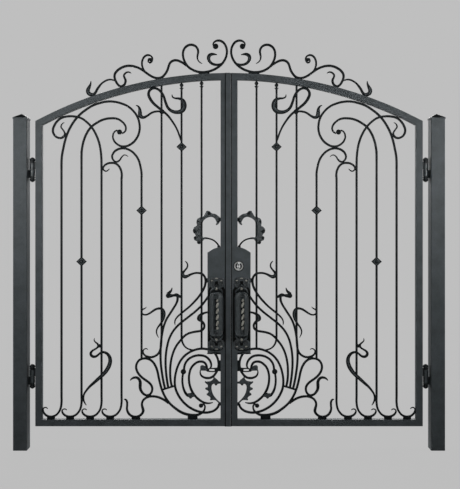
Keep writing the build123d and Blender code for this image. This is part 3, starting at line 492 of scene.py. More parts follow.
# Beads of the rope moulding: (along, half length); each leans over by the same angle.
ROPE_BEADS = [(-78.5, 9.5), (-50, 17.5), (-16, 17.5), (19, 17.5), (54, 17.5), (78.5, 9.5)]
BEAD_HALF = (7.2, 6.8)
BEAD_LEAN = -0.38
ROPE_OFFSET = 6 * MM
ROPE_DEPTH = 45.5 * MM
# Bed of the rope's groove, painted near black as shade: its low and high corners, and its rounding.
BED_LOW, BED_HIGH = (-6 * MM, -86 * MM, 38 * MM), (13 * MM, 86 * MM, 40 * MM)
BED_EASE = 0.8 * MM
# Cast leaves and volutes at each end of a handle, on both sides of its middle line:
# (rise, tilt, pivot, thickness, [(across, along, width)]).
HANDLE_SCROLLS = [
    (5, 0, 171, 15, [
        (3, 136, 9), (14, 147, 11), (28, 154, 12), (38, 165, 11), (37.5, 180, 10), (26.5, 187, 9),
        (14.5, 181, 8), (12.5, 170, 7), (19, 161.5, 6), (28, 163.5, 5.5), (30.5, 171, 5), (26, 176, 4),
    ]),
    (4, 0, 171, 12, [(34, 163, 10), (43, 168, 9), (47, 178, 4)]),
    (4, 0, 171, 12, [(35, 183, 10), (41, 192, 9), (39, 201, 4)]),
    (5, 0, 171, 12, [(20, 188, 9), (26, 198, 9), (24, 207, 4)]),
    (26, 0.75, 132, 12, [(6, 158, 8), (19, 148, 11), (29, 134, 12), (33, 118, 9), (31, 106, 4)]),
    (24, 0.75, 132, 12, [(2, 150, 8), (10, 138, 10), (17, 124, 10), (20, 110, 5)]),
    (42, 0.1, 108, 11, [(8, 124, 7), (22, 119, 11), (31, 108, 11), (32, 94, 8), (27, 82, 3)]),
]
# Leaves on the middle line itself.
HANDLE_ARCH = (6, 0, 171, 14, [
    (-25, 189, 8), (-14, 198.5, 10), (0, 202.5, 12), (14, 198.5, 10), (25, 189, 8),
])
# Lobes on the middle line: (across, along, rise, half-lengths, tilt).
HANDLE_LOBES = [
    (0, 141, 30, (10, 16, 9), 0.55), (0, 160, 9, (7, 8, 8), 0.4), (0, 121, 41, (13, 6, 7), 0.3),
    (0, 111, 44, (14, 5, 5.6), 0), (0, 101, 45, (13, 5, 5), 0), (0, 91, 45, (12, 4.5, 4.6), 0),
]
# Arms from the rosettes to the grip: (half width, along from, along to, foot, head), well rounded.
HANDLE_ARMS = [(9, 108, 150, 2, 22), (14, 108, 128, 16, 40)]
ARM_EASE, ARM_ROUNDS = 5 * MM, 3
# Crests in the pale coat, partly hand wear and partly painted highlight: (across, along, rise,
# half-lengths, tilt), the first ones in pairs.
RUBBED_AND_HIGHLIGHT_TIPS = [
    (27, 189, 11.5, (6, 4, 2.6), 0), (0, 203, 11.6, (9, 3.4, 3), 0),
    (0, 143, 35.5, (7.5, 12.5, 5.4), 0.55),
]
ROSETTE_BASE = [(14.5, -1), (34, -1), (37, 1), (36, 4), (29, 5), (17, 5), (15, 3.5), (14.5, -1)]
# Black disc in the middle of each rosette: painted shade in its hollow.
SHADE_DISC_PROFILE = [(0, -0.5), (15, -0.5), (15, 1.2), (0, 1.2)]
# Section of the grip with the groove for the rope: (across, height over the leaf's face).
GRIP_SECTION = [
    (-39, 26), (-37, 24), (37, 24), (39, 26), (40, 31), (39.4, 36), (37, 41), (33, 45), (28, 48),
    (22, 49.6), (18, 49.2), (15.4, 47), (14.4, 41), (10, 39), (-3, 39), (-7.4, 41), (-8.6, 46),
    (-11, 48.8), (-16, 49.6), (-23, 49.2), (-29, 47.4), (-34, 44.2), (-37.6, 40), (-39.6, 35),
    (-40, 30),
]
# How the grip rounds off at an end: (distance from the end, share of the section), shrinking
# towards an axis at that height over the leaf's face.
GRIP_ENDS = [(0, 0.5), (3, 0.66), (8, 0.8), (16, 0.92), (26, 1.0), (40, 1.0)]
GRIP_AXIS = 43 * MM
# Black sheet round the handle, painted shade: its edges nearer and further from the gate's middle,
# its foot and head, and its corners.
GASKET_INNER, GASKET_OUTER = 21 * MM, 120.5 * MM
GASKET_FOOT, GASKET_HEAD = 604 * MM, 938 * MM
GASKET_INSET, GASKET_SLOPE = 16 * MM, 22 * MM
GASKET_HALF, GASKET_EASE = 1.6 * MM, 0.6 * MM
# Ribs cast across the box's foot, painted near black as shade: (u, height over the box's foot, width).
FOOT_RIBS = [
    [
        (122.5, 33, 5), (114, 27.5, 11), (98, 23.5, 14), (78, 22, 14), (58, 23.5, 13), (44, 27.5, 8),
        (36, 33, 4),
    ],
    [(121, 5, 5), (110, 3.6, 9), (94, 4.4, 10), (84, 9, 6), (81, 13, 3)],
    [(79, 13, 3), (76, 9, 6), (68, 4.4, 10), (56, 3.6, 9), (48, 5, 4)],
]
RIB_DEPTH, RIB_PROUD = 7 * MM, 0.5 * MM
# Hinges: where the two knuckles of each meet, how far the pin lies behind the leaf's middle, and
# the tabs that are welded on: half their thickness, and where they start and end along a knuckle.
HINGE_HEIGHTS = (417 * MM, 1610 * MM)
HINGE_BACK = 6 * MM
THRUST_GAP = 0.3 * MM
TAB_HALF = 7 * MM
TAB_START, TAB_END = 2 * MM, 48 * MM
# Bars that carry a collar, with its depth under the arch.
COLLARS = {2: 888, 5: 698, 7: 370}
# Lock cylinder: its place, the bridge across its face, and the keyway with its round head, each
# with the rounding of its edges.
CYLINDER_U = 55 * MM
CYLINDER_HEIGHT = 1055 * MM
CYLINDER_BRIDGE = (-5.5 * MM, -20 * MM, 1.2 * MM), (5.5 * MM, 20 * MM, 6.6 * MM)
BRIDGE_EASE, KEYWAY_EASE = 1 * MM, 0.3 * MM
KEYWAY = (-1.6 * MM, -8 * MM, 6 * MM), (1.6 * MM, 8 * MM, 7.1 * MM)
KEY_HOLE = [(0, 6), (2.8, 6), (2.8, 7.1), (0, 7.1)]
KEY_HOLE_UP = 6 * MM
# Meeting of the leaves: how far the lip runs under the strip, lies behind its face and stands in
# the stile, and how far the strip's black seal, a line of painted shade, shows beside the strip,
# runs under it and stands out.
LIP_UNDER, LIP_BACK, LIP_ROOT = 1 * MM, 0.6 * MM, 2 * MM
SEAL_BESIDE, SEAL_UNDER, SEAL_PROUD = 1.5 * MM, 4 * MM, 0.6 * MM
# The other stile's black seal, painted shade beside the slot: from and to across its face, and how
# far it stands out and in. The lip and the seals stop short of the strip's top.
STILE_SEAL_FROM, STILE_SEAL_TO = 0.4 * MM, 5.5 * MM
STILE_SEAL_PROUD, STILE_SEAL_ROOT = 1.6 * MM, 3 * MM
LIP_EASE, SEAL_EASE, STRIP_EASE = 0.5 * MM, 0.6 * MM, 1 * MM
STRIP_SHORT = 2 * MM
# A cap's faces that look up more than this carry the darker coat: painted shade on its top.
CAP_SHADE_SLOPE = 0.2
# How far round a spot of a casting the painted shade looks for hollows.
PAINTED_SHADE_REACH = 16 * MM
# Studio floor: it glows in the backdrop's tone, a little less near the gate so that it takes the
# gate's shadow: (distance, share of glow) near and far.
FLOOR_NEAR, FLOOR_FAR = (1.3, 0.965), (2.6, 1.0)
FLOOR_HALF = 20
WORLD_FILL = 0.015
# Soft lamps: name, place, aim, sizes, watts and spread in degrees. The first number of a place or
# an aim is its distance out from the gate's middle, and a lamp off the middle has a twin.
LAMPS = [
    ("fill_softbox", (0, -4.2, 2.3), (0, 0, 1.4), (1.2, 1.2), 5.5, 60),
    ("front_softbox", (2.0, -2.2, 1.95), (1.25, 0, 1.75), (0.9, 0.9), 13, 95),
    ("back_softbox", (1.6, 3.2, 2.3), (0.9, 0, 1.2), (1.6, 1.6), 38, 110),
    ("side_softbox", (3.6, 0.5, 1.9), (1.24, 0, 1.1), (1.0, 1.6), 20, 60),
]
# Camera: its place from the gate's middle, half the width it sees at a distance of 1, its shift.
CAMERA_PLACE = (0.0055, -4.72, 1.347)
CAMERA_HALF_VIEW = 0.29889
CAMERA_SHIFT = -0.0597
SENSOR = 36

# Cross-sections of forged bar: (name, rounding of the corners, steps to a corner), and those in use.
BAR_SECTION = ("bar_section", BAR / 6, 3)
SOFT_SECTION = ("soft_section", BAR * 0.45, 4)
SECTIONS = {}


def linear(hex_colour):
    """An sRGB hex colour as the linear one that shaders take, with an alpha of 1."""
    parts = [int(hex_colour[i:i + 2], 16) / 255 for i in (1, 3, 5)]
    return [p / 12.92 if p <= 0.04045 else ((p + 0.055) / 1.055) ** 2.4 for p in parts] + [1.0]


def add_node(tree, kind, settings=None, values=None, links=None):
    """Adds a shader node with its settings, its sockets' values and the links into it."""
    made = tree.nodes.new(kind)
    for name, value in (settings or {}).items():
        setattr(made, name, value)
    for name, value in (values or {}).items():
        made.inputs[name].default_value = value
    for name, source in (links or {}).items():
        tree.links.new(source, made.inputs[name])
    return made


def new_material(name):
    """A new material with an empty node tree."""
    made = bpy.data.materials.new(name)
    made.use_nodes = True
    made.node_tree.nodes.clear()
    return made, made.node_tree


def powder_coat(name, dark, light, roughness, grain_mm, cloud_mm, bump_mm, gloss=0.2, painted_hollow_shade=None):
    """Textured powder coat on steel: a fine pebbled skin, a little lighter where it lies thick.

    The real pebbles are under a millimetre across, and are drawn a few times coarser so that they
    show. With a shade colour, the coat is painted that colour deep in a casting's hollows: painted shade."""
    made, tree = new_material(name)
    place = add_node(tree, "ShaderNodeTexCoord").outputs["Object"]
    cloud = add_node(
        tree, "ShaderNodeTexNoise",
        values={"Scale": 1 / (cloud_mm * MM), "Detail": 3.0, "Roughness": 0.6}, links={"Vector": place},
    )
    grain = add_node(
        tree, "ShaderNodeTexNoise",
        values={"Scale": 1 / (grain_mm * MM), "Detail": 2.0, "Roughness": 0.5}, links={"Vector": place},
    )
    both = add_node(
        tree, "ShaderNodeMath", {"operation": "ADD"},
        links={0: cloud.outputs["Fac"], 1: grain.outputs["Fac"]},
    )
    half = add_node(tree, "ShaderNodeMath", {"operation": "MULTIPLY"}, {1: 0.5}, {0: both.outputs[0]})
    ramp = add_node(tree, "ShaderNodeValToRGB", links={"Fac": half.outputs[0]})
    ramp.color_ramp.elements[0].position = 0.35
    ramp.color_ramp.elements[0].color = dark
    ramp.color_ramp.elements[1].position = 0.68
    ramp.color_ramp.elements[1].color = light
    colour = ramp.outputs["Color"]
    # Painted shade: where ambient occlusion finds a hollow close round, the colour turns to the shade
    # colour.
    if painted_hollow_shade:
        open_air = add_node(
            tree, "ShaderNodeAmbientOcclusion", {"samples": 8, "only_local": True},
            {"Distance": PAINTED_SHADE_REACH},
        )
        shown = add_node(
            tree, "ShaderNodeMapRange", values={"From Min": 0.35, "From Max": 0.9},
            links={"Value": open_air.outputs["AO"]},
        )
        colour = add_node(
            tree, "ShaderNodeMix", {"data_type": "RGBA"}, {6: linear(painted_hollow_shade)},
            {0: shown.outputs["Result"], 7: colour},
        ).outputs[2]
    bump = add_node(
        tree, "ShaderNodeBump", values={"Strength": 0.6, "Distance": bump_mm * MM},
        links={"Height": grain.outputs["Fac"]},
    )
    shader = add_node(
        tree, "ShaderNodeBsdfPrincipled", values={"Roughness": roughness, "Specular IOR Level": gloss},
        links={"Base Color": colour, "Normal": bump.outputs["Normal"]},
    )
    add_node(tree, "ShaderNodeOutputMaterial", links={"Surface": shader.outputs["BSDF"]})
    return made


def shared(name, build):
    """A material, made once and then shared."""
    if name not in bpy.data.materials:
        build(name)
    return bpy.data.materials[name]


def coat(name, part, *look):
    """A coat in the colours that the settings hold for that part."""
    colours = bpy.context.scene.gate_colours
    dark, light = ((*getattr(colours, f"{part}_{shade}"), 1.0) for shade in ("dark", "light"))
    return shared(name, lambda made: powder_coat(made, dark, light, *look))


# Each coat below gives its name and part, its roughness, the sizes in millimetres of its grain and
# clouds and the height of its pebbles, then its gloss and, where it has one, the colour of its
# painted shade deep in hollows.


def tube_paint():
    """Coat on the tubes and posts: dark grey, matt, with a soft sheen along the flats."""
    return coat("powder_coat_on_tube", "tube", 0.55, 2.4, 70, 0.5)


def shaded_bar_paint():
    """Coat on the forged bars: nearly black, painted darker than the tubes' coat as shade on thin bars."""
    return coat("powder_coat_on_bar", "bar", 0.6, 2.4, 40, 0.4, 0.1)


def cast_paint():
    """Coat on the castings: smoother, paler on what stands up, with black painted shade in the hollows."""
    return coat("powder_coat_on_casting", "cast", 0.42, 3.0, 22, 0.4, 0.4, "#040505")


def highlight_leaf_paint():
    """Coat on the raised middles of the forged leaves: a little paler than the bars, as painted highlight.
    """
    return coat("powder_coat_on_leaf_forms", "leaf", 0.5, 2.4, 22, 0.4, 0.2)


def hinge_paint():
    """Coat on the hinges, and the caps' painted shade on top: black with a faint shine on the domes."""
    return coat("powder_coat_on_hinge", "hinge", 0.5, 3.0, 30, 0.4, 0.2)


def worn_and_highlight_paint():
    """Smooth coat of rope and crests: pale from hand wear and painted highlight; painted shade in hollows.
    """
    return coat("hand_worn_casting", "worn", 0.38, 3.0, 14, 0.3, 0.4, "#0c0d0d")


def black_shade_coat():
    """Near-black matt seals and sheets by the strip and handles: painted shade, faintly dusty."""
    dark, light = linear("#080909"), linear("#131414")
    return shared("black_epdm_rubber", lambda made: powder_coat(made, dark, light, 0.8, 4.0, 50, 0.1, 0.1))


def plated_brass(name, colour, smoothest, roughest):
    """Plating on turned brass: bright, with faint turning marks of about 1.5 mm."""
    made, tree = new_material(name)
    place = add_node(tree, "ShaderNodeTexCoord").outputs["Object"]
    marks = add_node(
        tree, "ShaderNodeTexNoise", values={"Scale": 1 / (1.5 * MM), "Detail": 2.0}, links={"Vector": place},
    )
    gloss = add_node(
        tree, "ShaderNodeMapRange", values={"To Min": smoothest, "To Max": roughest},
        links={"Value": marks.outputs["Fac"]},
    )
    shader = add_node(
        tree, "ShaderNodeBsdfPrincipled", values={"Base Color": linear(colour), "Metallic": 1.0},
        links={"Roughness": gloss.outputs["Result"]},
    )
    add_node(tree, "ShaderNodeOutputMaterial", links={"Surface": shader.outputs["BSDF"]})


def chrome():
    """Bright chrome plate on the plug of the lock cylinder."""
    return shared("chrome_plated_brass", lambda n: plated_brass(n, "#cfd1d0", 0.18, 0.34))


def satin_nickel():
    """Satin nickel plate, darker than chrome, on the rim of the lock cylinder."""
    return shared("satin_nickel_plate", lambda n: plated_brass(n, "#8f918f", 0.34, 0.5))


def finish_piece(mesh_build, name, body, paint, replaced=(), sharp_angle=35):
    """Turns a bmesh into a piece that rides on its body and stands for its nodes."""
    bmesh.ops.remove_doubles(mesh_build, verts=mesh_build.verts, dist=1e-6)
    bmesh.ops.recalc_face_normals(mesh_build, faces=mesh_build.faces)
    mesh = bpy.data.meshes.new(name)
    mesh_build.to_mesh(mesh)
    mesh_build.free()
    mesh.polygons.foreach_set("use_smooth", [True] * len(mesh.polygons))
    mesh.set_sharp_from_angle(angle=math.radians(sharp_angle))
    piece = bpy.data.objects.new(name, mesh)
    bpy.context.scene.collection.objects.link(piece)
    mesh.materials.append(paint)
    even = piece.modifiers.new("even_shading", "WEIGHTED_NORMAL")
    even.keep_sharp = True
    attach(piece, body)
    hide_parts(*replaced)
    return piece


def put_in_leaf(mesh_build, side):
    """Moves what was drawn as a right leaf about the gate's middle into the right or left leaf."""
    if side < 0:
        bmesh.ops.scale(mesh_build, vec=(-1, 1, 1), verts=mesh_build.verts)
    bmesh.ops.translate(mesh_build, vec=(GATE_MIDDLE, 0, 0), verts=mesh_build.verts)


def add_part(mesh_build, part, where=Matrix.Identity(4)):
    """Puts a part, built at the origin, where the matrix says and adds it to the piece."""
    bmesh.ops.transform(part, matrix=where, verts=part.verts)
    mesh = bpy.data.meshes.new("part")
    part.to_mesh(mesh)
    part.free()
    mesh_build.from_mesh(mesh)
    bpy.data.meshes.remove(mesh)


def outward(u, y, z, side):
    """Matrix that puts a part's origin at (u, y, z) with its Z axis pointing out of that face."""
    return Matrix.Translation((u, y, z)) @ Matrix.Rotation(-side * math.pi / 2, 4, "X")


def turned(profile, steps=24, scale=MM):
    """A solid turned about Z from a profile of (radius, height)."""
    part = bmesh.new()
    verts = [part.verts.new((radius * scale, 0, height * scale)) for radius, height in profile]
    edges = [part.edges.new(pair) for pair in zip(verts, verts[1:])]
    bmesh.ops.spin(
        part, geom=verts + edges, cent=(0, 0, 0), axis=(0, 0, 1), angle=2 * math.pi, steps=steps,
        use_merge=True,
    )
    bmesh.ops.remove_doubles(part, verts=part.verts, dist=1e-6)
    return part


def lobe(size):
    """A rounded lobe of a casting, size given as (x, y, z) half-lengths in millimetres."""
    part = bmesh.new()
    bmesh.ops.create_icosphere(part, subdivisions=3, radius=MM)
    bmesh.ops.scale(part, vec=size, verts=part.verts)
    return part


def block(low_corner, high_corner, ease, segments=2):
    """A block between two corners (x, y, z), with its edges eased."""
    part = bmesh.new()
    bmesh.ops.create_cube(part, size=1)
    size = [h - l for l, h in zip(low_corner, high_corner)]
    middle = [(h + l) / 2 for l, h in zip(low_corner, high_corner)]
    bmesh.ops.scale(part, vec=size, verts=part.verts)
    bmesh.ops.translate(part, vec=middle, verts=part.verts)
    bmesh.ops.bevel(
        part, geom=part.edges, offset=ease, segments=segments, affect="EDGES", profile=0.5, material=-1,
    )
    return part


def section_curve(name, ease, steps):
    """Closed cross-section of the bar, square with eased corners, made once and kept while it is used."""
    if name in SECTIONS:
        return SECTIONS[name]
    curve = bpy.data.curves.new(name, "CURVE")
    spline = curve.splines.new("POLY")
    straight = BAR / 2 - ease
    spots = []
    for quarter, (sign_x, sign_y) in enumerate(((1, 1), (-1, 1), (-1, -1), (1, -1))):
        for step in range(steps):
            angle = math.radians(90 * quarter + 90 * step / (steps - 1))
            spots.append((
                sign_x * straight + ease * math.cos(angle), sign_y * straight + ease * math.sin(angle),
            ))
    spline.points.add(len(spots) - 1)
    for point, (x, y) in zip(spline.points, spots):
        point.co = (x, y, 0, 1)
    spline.use_cyclic_u = True
    section = bpy.data.objects.new(name, curve)
    section["size"] = len(spots)
    bpy.context.scene.collection.objects.link(section)
    SECTIONS[name] = section
    return section


def remove_sections():
    """Takes the cross-sections away once every stroke has been drawn."""
    while SECTIONS:
        bpy.data.objects.remove(SECTIONS.popitem()[1])


def curve_mesh(curve):
    """The mesh of a curve, as a bmesh of its own."""
    holder = bpy.data.objects.new("drawing", curve)
    bpy.context.scene.collection.objects.link(holder)
    graph = bpy.context.evaluated_depsgraph_get()
    mesh = bpy.data.meshes.new_from_object(holder.evaluated_get(graph), depsgraph=graph)
    part = bmesh.new()
    part.from_mesh(mesh)
    bpy.data.objects.remove(holder)
    bpy.data.curves.remove(curve)
    bpy.data.meshes.remove(mesh)
    return part


STAND_UP = Matrix.Rotation(math.pi / 2, 4, "X")


def stroke(place, points, thickness, thinnest=6 * MM, steps=5, soft=False, heft=1.0):
    """Sweeps the bar section along a smooth line, as wide at each point as the drawing says."""
    curve = bpy.data.curves.new("stroke", "CURVE")
    curve.dimensions = "2D"
    curve.fill_mode = "NONE"
    curve.bevel_mode = "OBJECT"
    section = section_curve(*(SOFT_SECTION if soft else BAR_SECTION))
    curve.bevel_object = section
    curve.use_fill_caps = True
    curve.resolution_u = steps
    spline = curve.splines.new("BEZIER")
    spline.bezier_points.add(len(points) - 1)
    for point, (column, height, width) in zip(spline.bezier_points, points):
        point.co = (*place(column, height), 0)
        point.radius = width * BAR_PART * heft / BAR
        point.handle_left_type = point.handle_right_type = "AUTO"
    part = curve_mesh(curve)
    # Rings follow one another, so each is given its thickness by itself: no more than the bar's.
    part.verts.ensure_lookup_table()
    ring = section["size"]
    for start in range(0, len(part.verts), ring):
        verts = part.verts[start:start + ring]
        reach = max(abs(v.co.z) for v in verts)
        wanted = min(thickness / 2, max(thinnest / 2, reach))
        bmesh.ops.scale(part, vec=(1, 1, wanted / max(reach, 1e-6)), verts=verts)
    bmesh.ops.transform(part, matrix=STAND_UP, verts=part.verts)
    return part


def plate(corners, half_thickness, ease):
    """A plate cut to an outline of (u, z, smooth), with its edges eased all round."""
    curve = bpy.data.curves.new("plate", "CURVE")
    curve.dimensions = "2D"
    curve.fill_mode = "BOTH"
    curve.extrude = half_thickness - ease
    curve.bevel_depth = ease
    curve.bevel_resolution = 2
    curve.offset = -ease
    curve.resolution_u = 6
    spline = curve.splines.new("BEZIER")
    spline.bezier_points.add(len(corners) - 1)
    for point, (u, z, smooth) in zip(spline.bezier_points, corners):
        point.co = (u, z, 0)
        point.handle_left_type = point.handle_right_type = "AUTO" if smooth else "VECTOR"
    spline.use_cyclic_u = True
    part = curve_mesh(curve)
    bmesh.ops.transform(part, matrix=STAND_UP, verts=part.verts)
    bmesh.ops.remove_doubles(part, verts=part.verts, dist=1e-6)
    return part


def ball(place, column, height, radius, flat=0.75):
    """Ball end of a scroll, a little flattened by the hammer."""
    u, z = place(column, height)
    part = lobe([radius * BAR_PART / MM] * 3)
    bmesh.ops.scale(part, vec=(1, flat, 1), verts=part.verts)
    bmesh.ops.translate(part, vec=(u, 0, z), verts=part.verts)
    return part


def weld(place, first, last, foot, head):
    """Bead or foot that joins two pieces, given as (column, column, height, height)."""
    middle = (first + last) / 2
    low_u, high_u = sorted((across(first), across(last)))
    low_z, high_z = sorted((place(middle, foot)[1], place(middle, head)[1]))
    return block((low_u, -WELD_HALF, low_z), (high_u, WELD_HALF, high_z), WELD_EASE)


def build_scrollwork(node, side_name, drawing):
    """One node's strokes, balls and welds as a single forged piece."""
    made = bmesh.new()
    depth = bpy.context.scene.gate_sizes.bar_depth
    for number, (place, points) in enumerate(drawing.get("strokes", ())):
        # Strokes that cross differ a little in thickness, as hammered bar does.
        thickness = depth - (0.2 + 0.1 * (number % 6)) * MM
        add_part(made, stroke(
            place, points, thickness, soft=drawing.get("soft", False), heft=drawing["heft"],
        ))
    for place, column, height, radius in drawing.get("balls", ()):
        add_part(made, ball(place, column, height, radius))
    for place, *bead in drawing.get("welds", ()):
        add_part(made, weld(place, *bead))
    put_in_leaf(made, SIDES[side_name])
    finish_piece(
        made, f"{side_name}_{node}_forged", f"{side_name}_leaf", shaded_bar_paint(),
        [f"{side_name}_{node}"],
    )
    # Leaf forms and raised middles take the paler coat: painted highlight.
    if "leaves" in drawing or "fills" in drawing:
        leaves = bmesh.new()
        for outline in drawing.get("leaves", ()):
            corners = [(*low(column, height), smooth) for column, height, smooth in outline]
            add_part(leaves, plate(corners, LEAF_HALF, LEAF_EASE))
        for place, points in drawing.get("fills", ()):
            add_part(leaves, stroke(place, points, depth + RAISED, thinnest=depth + RAISED_TIP, soft=True))
        put_in_leaf(leaves, SIDES[side_name])
        finish_piece(
            leaves, f"{side_name}_{node}_leaves", f"{side_name}_leaf", highlight_leaf_paint(),
            [f"{side_name}_{node}"], 50,
        )


def build_bars(side_name):
    """The eight straight bars, with the turned feet of the outer four."""
    made = bmesh.new()
    depth = bpy.context.scene.gate_sizes.bar_depth
    for number in range(1, BAR_COUNT + 1):
        u = across(number)
        foot = low(number, BAR_FEET[number])[1]
        head = arch_under(u) + BAR_RUN_IN
        if number in FINIAL_BARS:
            head = arch_under(u) - FINIAL_HEIGHT
        if number in BAR_HEADS:
            head = hung(number, BAR_HEADS[number])[1]
        half = BAR / 2
        add_part(made, block((u - half, -depth / 2, foot), (u + half, depth / 2, head), BAR_EASE))
        if number <= TURNED_BARS:
            lean, squash = (FOOT_LEAN, FOOT_SQUASH) if number > 1 else (0, 1)
            turn = []
            for column, height, width in FOOT_TURN:
                if column < -0.5:
                    height = FOOT_BOTTOM + (height - FOOT_BOTTOM) * squash
                turn.append((number + column + lean * min(1, -2 * column), height, width))
            add_part(made, stroke(low, turn, depth - FOOT_THINNER))
            first, last, foot_height, head_height = FOOT_WELD
            first, last = first + lean, last + lean
            add_part(made, weld(low, number + first, number + last, foot_height, head_height))
    put_in_leaf(made, SIDES[side_name])
    return finish_piece(
        made, f"{side_name}_bars_forged", f"{side_name}_leaf", shaded_bar_paint(),
        [f"{side_name}_bars"],
    )


def build_copy(name, node, body, paint, ease, keep):
    """The CAD solid with its sharp edges eased."""
    made = bmesh.new()
    made.from_mesh(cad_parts[node].data)
    bmesh.ops.remove_doubles(made, verts=made.verts, dist=1e-5)
    bmesh.ops.dissolve_limit(
        made, angle_limit=math.radians(0.5), verts=made.verts, edges=made.edges, delimit={"NORMAL"},
    )
    edges = [
        e for e in made.edges
        if e.is_manifold and e.calc_face_angle() > math.radians(25) and keep(e)
    ]
    bmesh.ops.bevel(
        made, geom=edges, offset=ease, segments=3, affect="EDGES", profile=0.5, material=-1,
    )
    return finish_piece(made, name, body, paint, [node])


SCROLLWORK = {
    "corner_scrolls": {
        "heft": 1.06, "strokes": CORNER_SCROLLS_STROKES, "balls": CORNER_SCROLLS_BALLS,
        "welds": CORNER_SCROLLS_WELDS,
    },
    "crown_branch": {
        "heft": 1.1, "strokes": CROWN_BRANCH_STROKES, "balls": [(hung, 6.02, 151, 15)], "soft": True,
        "fills": CROWN_BRANCH_FILLS,
    },
    "vines": {
        "heft": 1.1, "strokes": VINES_STROKES, "welds": VINES_WELDS, "soft": True, "fills": VINES_FILLS,
    },
    "fan_stems": {
        "heft": 1.08, "strokes": FAN_STEMS_STROKES, "balls": FAN_STEMS_BALLS,
        "fills": FAN_STEMS_FILLS,
    },
    "ring_scroll": {
        "heft": 1.1, "strokes": RING_SCROLL_STROKES, "balls": RING_SCROLL_BALLS + RING_SCROLL_LEAF_KNOBS,
        "welds": RING_SCROLL_WELDS, "leaves": RING_SCROLL_LEAVES,
    },
    "base_scrolls": {
        "heft": 1.08, "strokes": BASE_SCROLLS_STROKES, "balls": BASE_SCROLLS_BALLS,
        "welds": BASE_SCROLLS_WELDS,
    },
    "crest": {
        "heft": 1.12, "strokes": CREST_STROKES, "balls": CREST_BALLS, "welds": CREST_WELDS,
        "fills": CREST_FILLS,
    },
}


def on_arc(radius, u):
    """A smooth point (u, z, smooth) at that distance out, on a circle about the arch's centre."""
    return u, ARCH_CENTRE + math.sqrt(radius**2 - u**2), True


def corner(radius, u):
    """The same point as a sharp corner."""
    return (*on_arc(radius, u)[:2], False)


def frame_outlines(ease):
    """Outlines of one leaf's tubes. Where a tube butts on another, it runs in by twice the ease."""
    run_in = 2 * ease
    inner_radius = ARCH_RADIUS - TUBE
    spans = 8
    steps = [LEAF_INNER + (LEAF_OUTER - LEAF_INNER) * i / spans for i in range(1, spans)]
    arch = (
        [corner(ARCH_RADIUS, LEAF_INNER)] + [on_arc(ARCH_RADIUS, u) for u in steps]
        + [corner(ARCH_RADIUS, LEAF_OUTER), corner(inner_radius, LEAF_OUTER)]
        + [on_arc(inner_radius, u) for u in reversed(steps)] + [corner(inner_radius, LEAF_INNER)]
    )
    outer_stile = [
        (LEAF_OUTER, GROUND_GAP, False), (PATTERN_OUTER, GROUND_GAP, False),
        corner(inner_radius + run_in, PATTERN_OUTER), corner(inner_radius + run_in, LEAF_OUTER),
    ]
    meeting_stile = [
        (LEAF_INNER, GROUND_GAP, False), corner(inner_radius + run_in, LEAF_INNER),
        corner(inner_radius + run_in, PATTERN_INNER), (PATTERN_INNER, LOCK_SHOULDER + LOCK_BROW, False),
        ((PATTERN_INNER + LOCK_OUTER) / 2, LOCK_SHOULDER + BROW_MIDDLE * LOCK_BROW, True),
        (LOCK_OUTER, LOCK_SHOULDER, False), (LOCK_OUTER, LOCK_FOOT, False),
        (PATTERN_INNER, LOCK_FOOT, False), (PATTERN_INNER, GROUND_GAP, False),
    ]
    bottom_rail = [
        (PATTERN_INNER - run_in, GROUND_GAP, False), (PATTERN_INNER - run_in, RAIL_TOP, False),
        (PATTERN_OUTER + run_in, RAIL_TOP, False), (PATTERN_OUTER + run_in, GROUND_GAP, False),
    ]
    return {
        "arched_rail": (arch, ["arched_rail"]),
        "outer_stile": (outer_stile, ["outer_stile"]),
        "meeting_stile_and_lock_box": (meeting_stile, ["meeting_stile", "lock_box"]),
        "bottom_rail": (bottom_rail, ["bottom_rail"]),
    }


def cast_scroll(rise, tilt, pivot, thickness, points):
    """A leaf or volute of a handle, drawn flat and then tilted about a line across its pivot."""
    def place(across_way, along):
        return across_way * MM, (along - pivot) * MM

    where = Matrix.Translation((0, pivot * MM, rise * MM)) @ Matrix.Rotation(tilt - math.pi / 2, 4, "X")
    return stroke(place, points, thickness * MM, soft=True), where


def handle_part():
    """Rosettes and leafy arms of one pull handle, its length along Y and standing off to +Z."""
    part = bmesh.new()
    for way in (-1, 1):
        add_part(part, turned(ROSETTE_BASE, 32), Matrix.Translation((0, way * ROSETTE_REACH, 0)))
        end = Matrix.Diagonal((1, way, 1, 1))
        for across_way, along, rise, size, tilt in HANDLE_LOBES:
            spot = Matrix.Translation((across_way * MM, along * MM, rise * MM))
            add_part(part, lobe(size), end @ spot @ Matrix.Rotation(tilt, 4, "X"))
        for side in (1, -1):
            for scroll in HANDLE_SCROLLS:
                made, where = cast_scroll(*scroll)
                add_part(part, made, end @ Matrix.Diagonal((side, 1, 1, 1)) @ where)
        made, where = cast_scroll(*HANDLE_ARCH)
        add_part(part, made, end @ where)
        for half, first, last, foot, head in HANDLE_ARMS:
            low_y, high_y = sorted((way * first * MM, way * last * MM))
            low_corner, high_corner = (-half * MM, low_y, foot * MM), (half * MM, high_y, head * MM)
            add_part(part, block(low_corner, high_corner, ARM_EASE, ARM_ROUNDS))
    return part


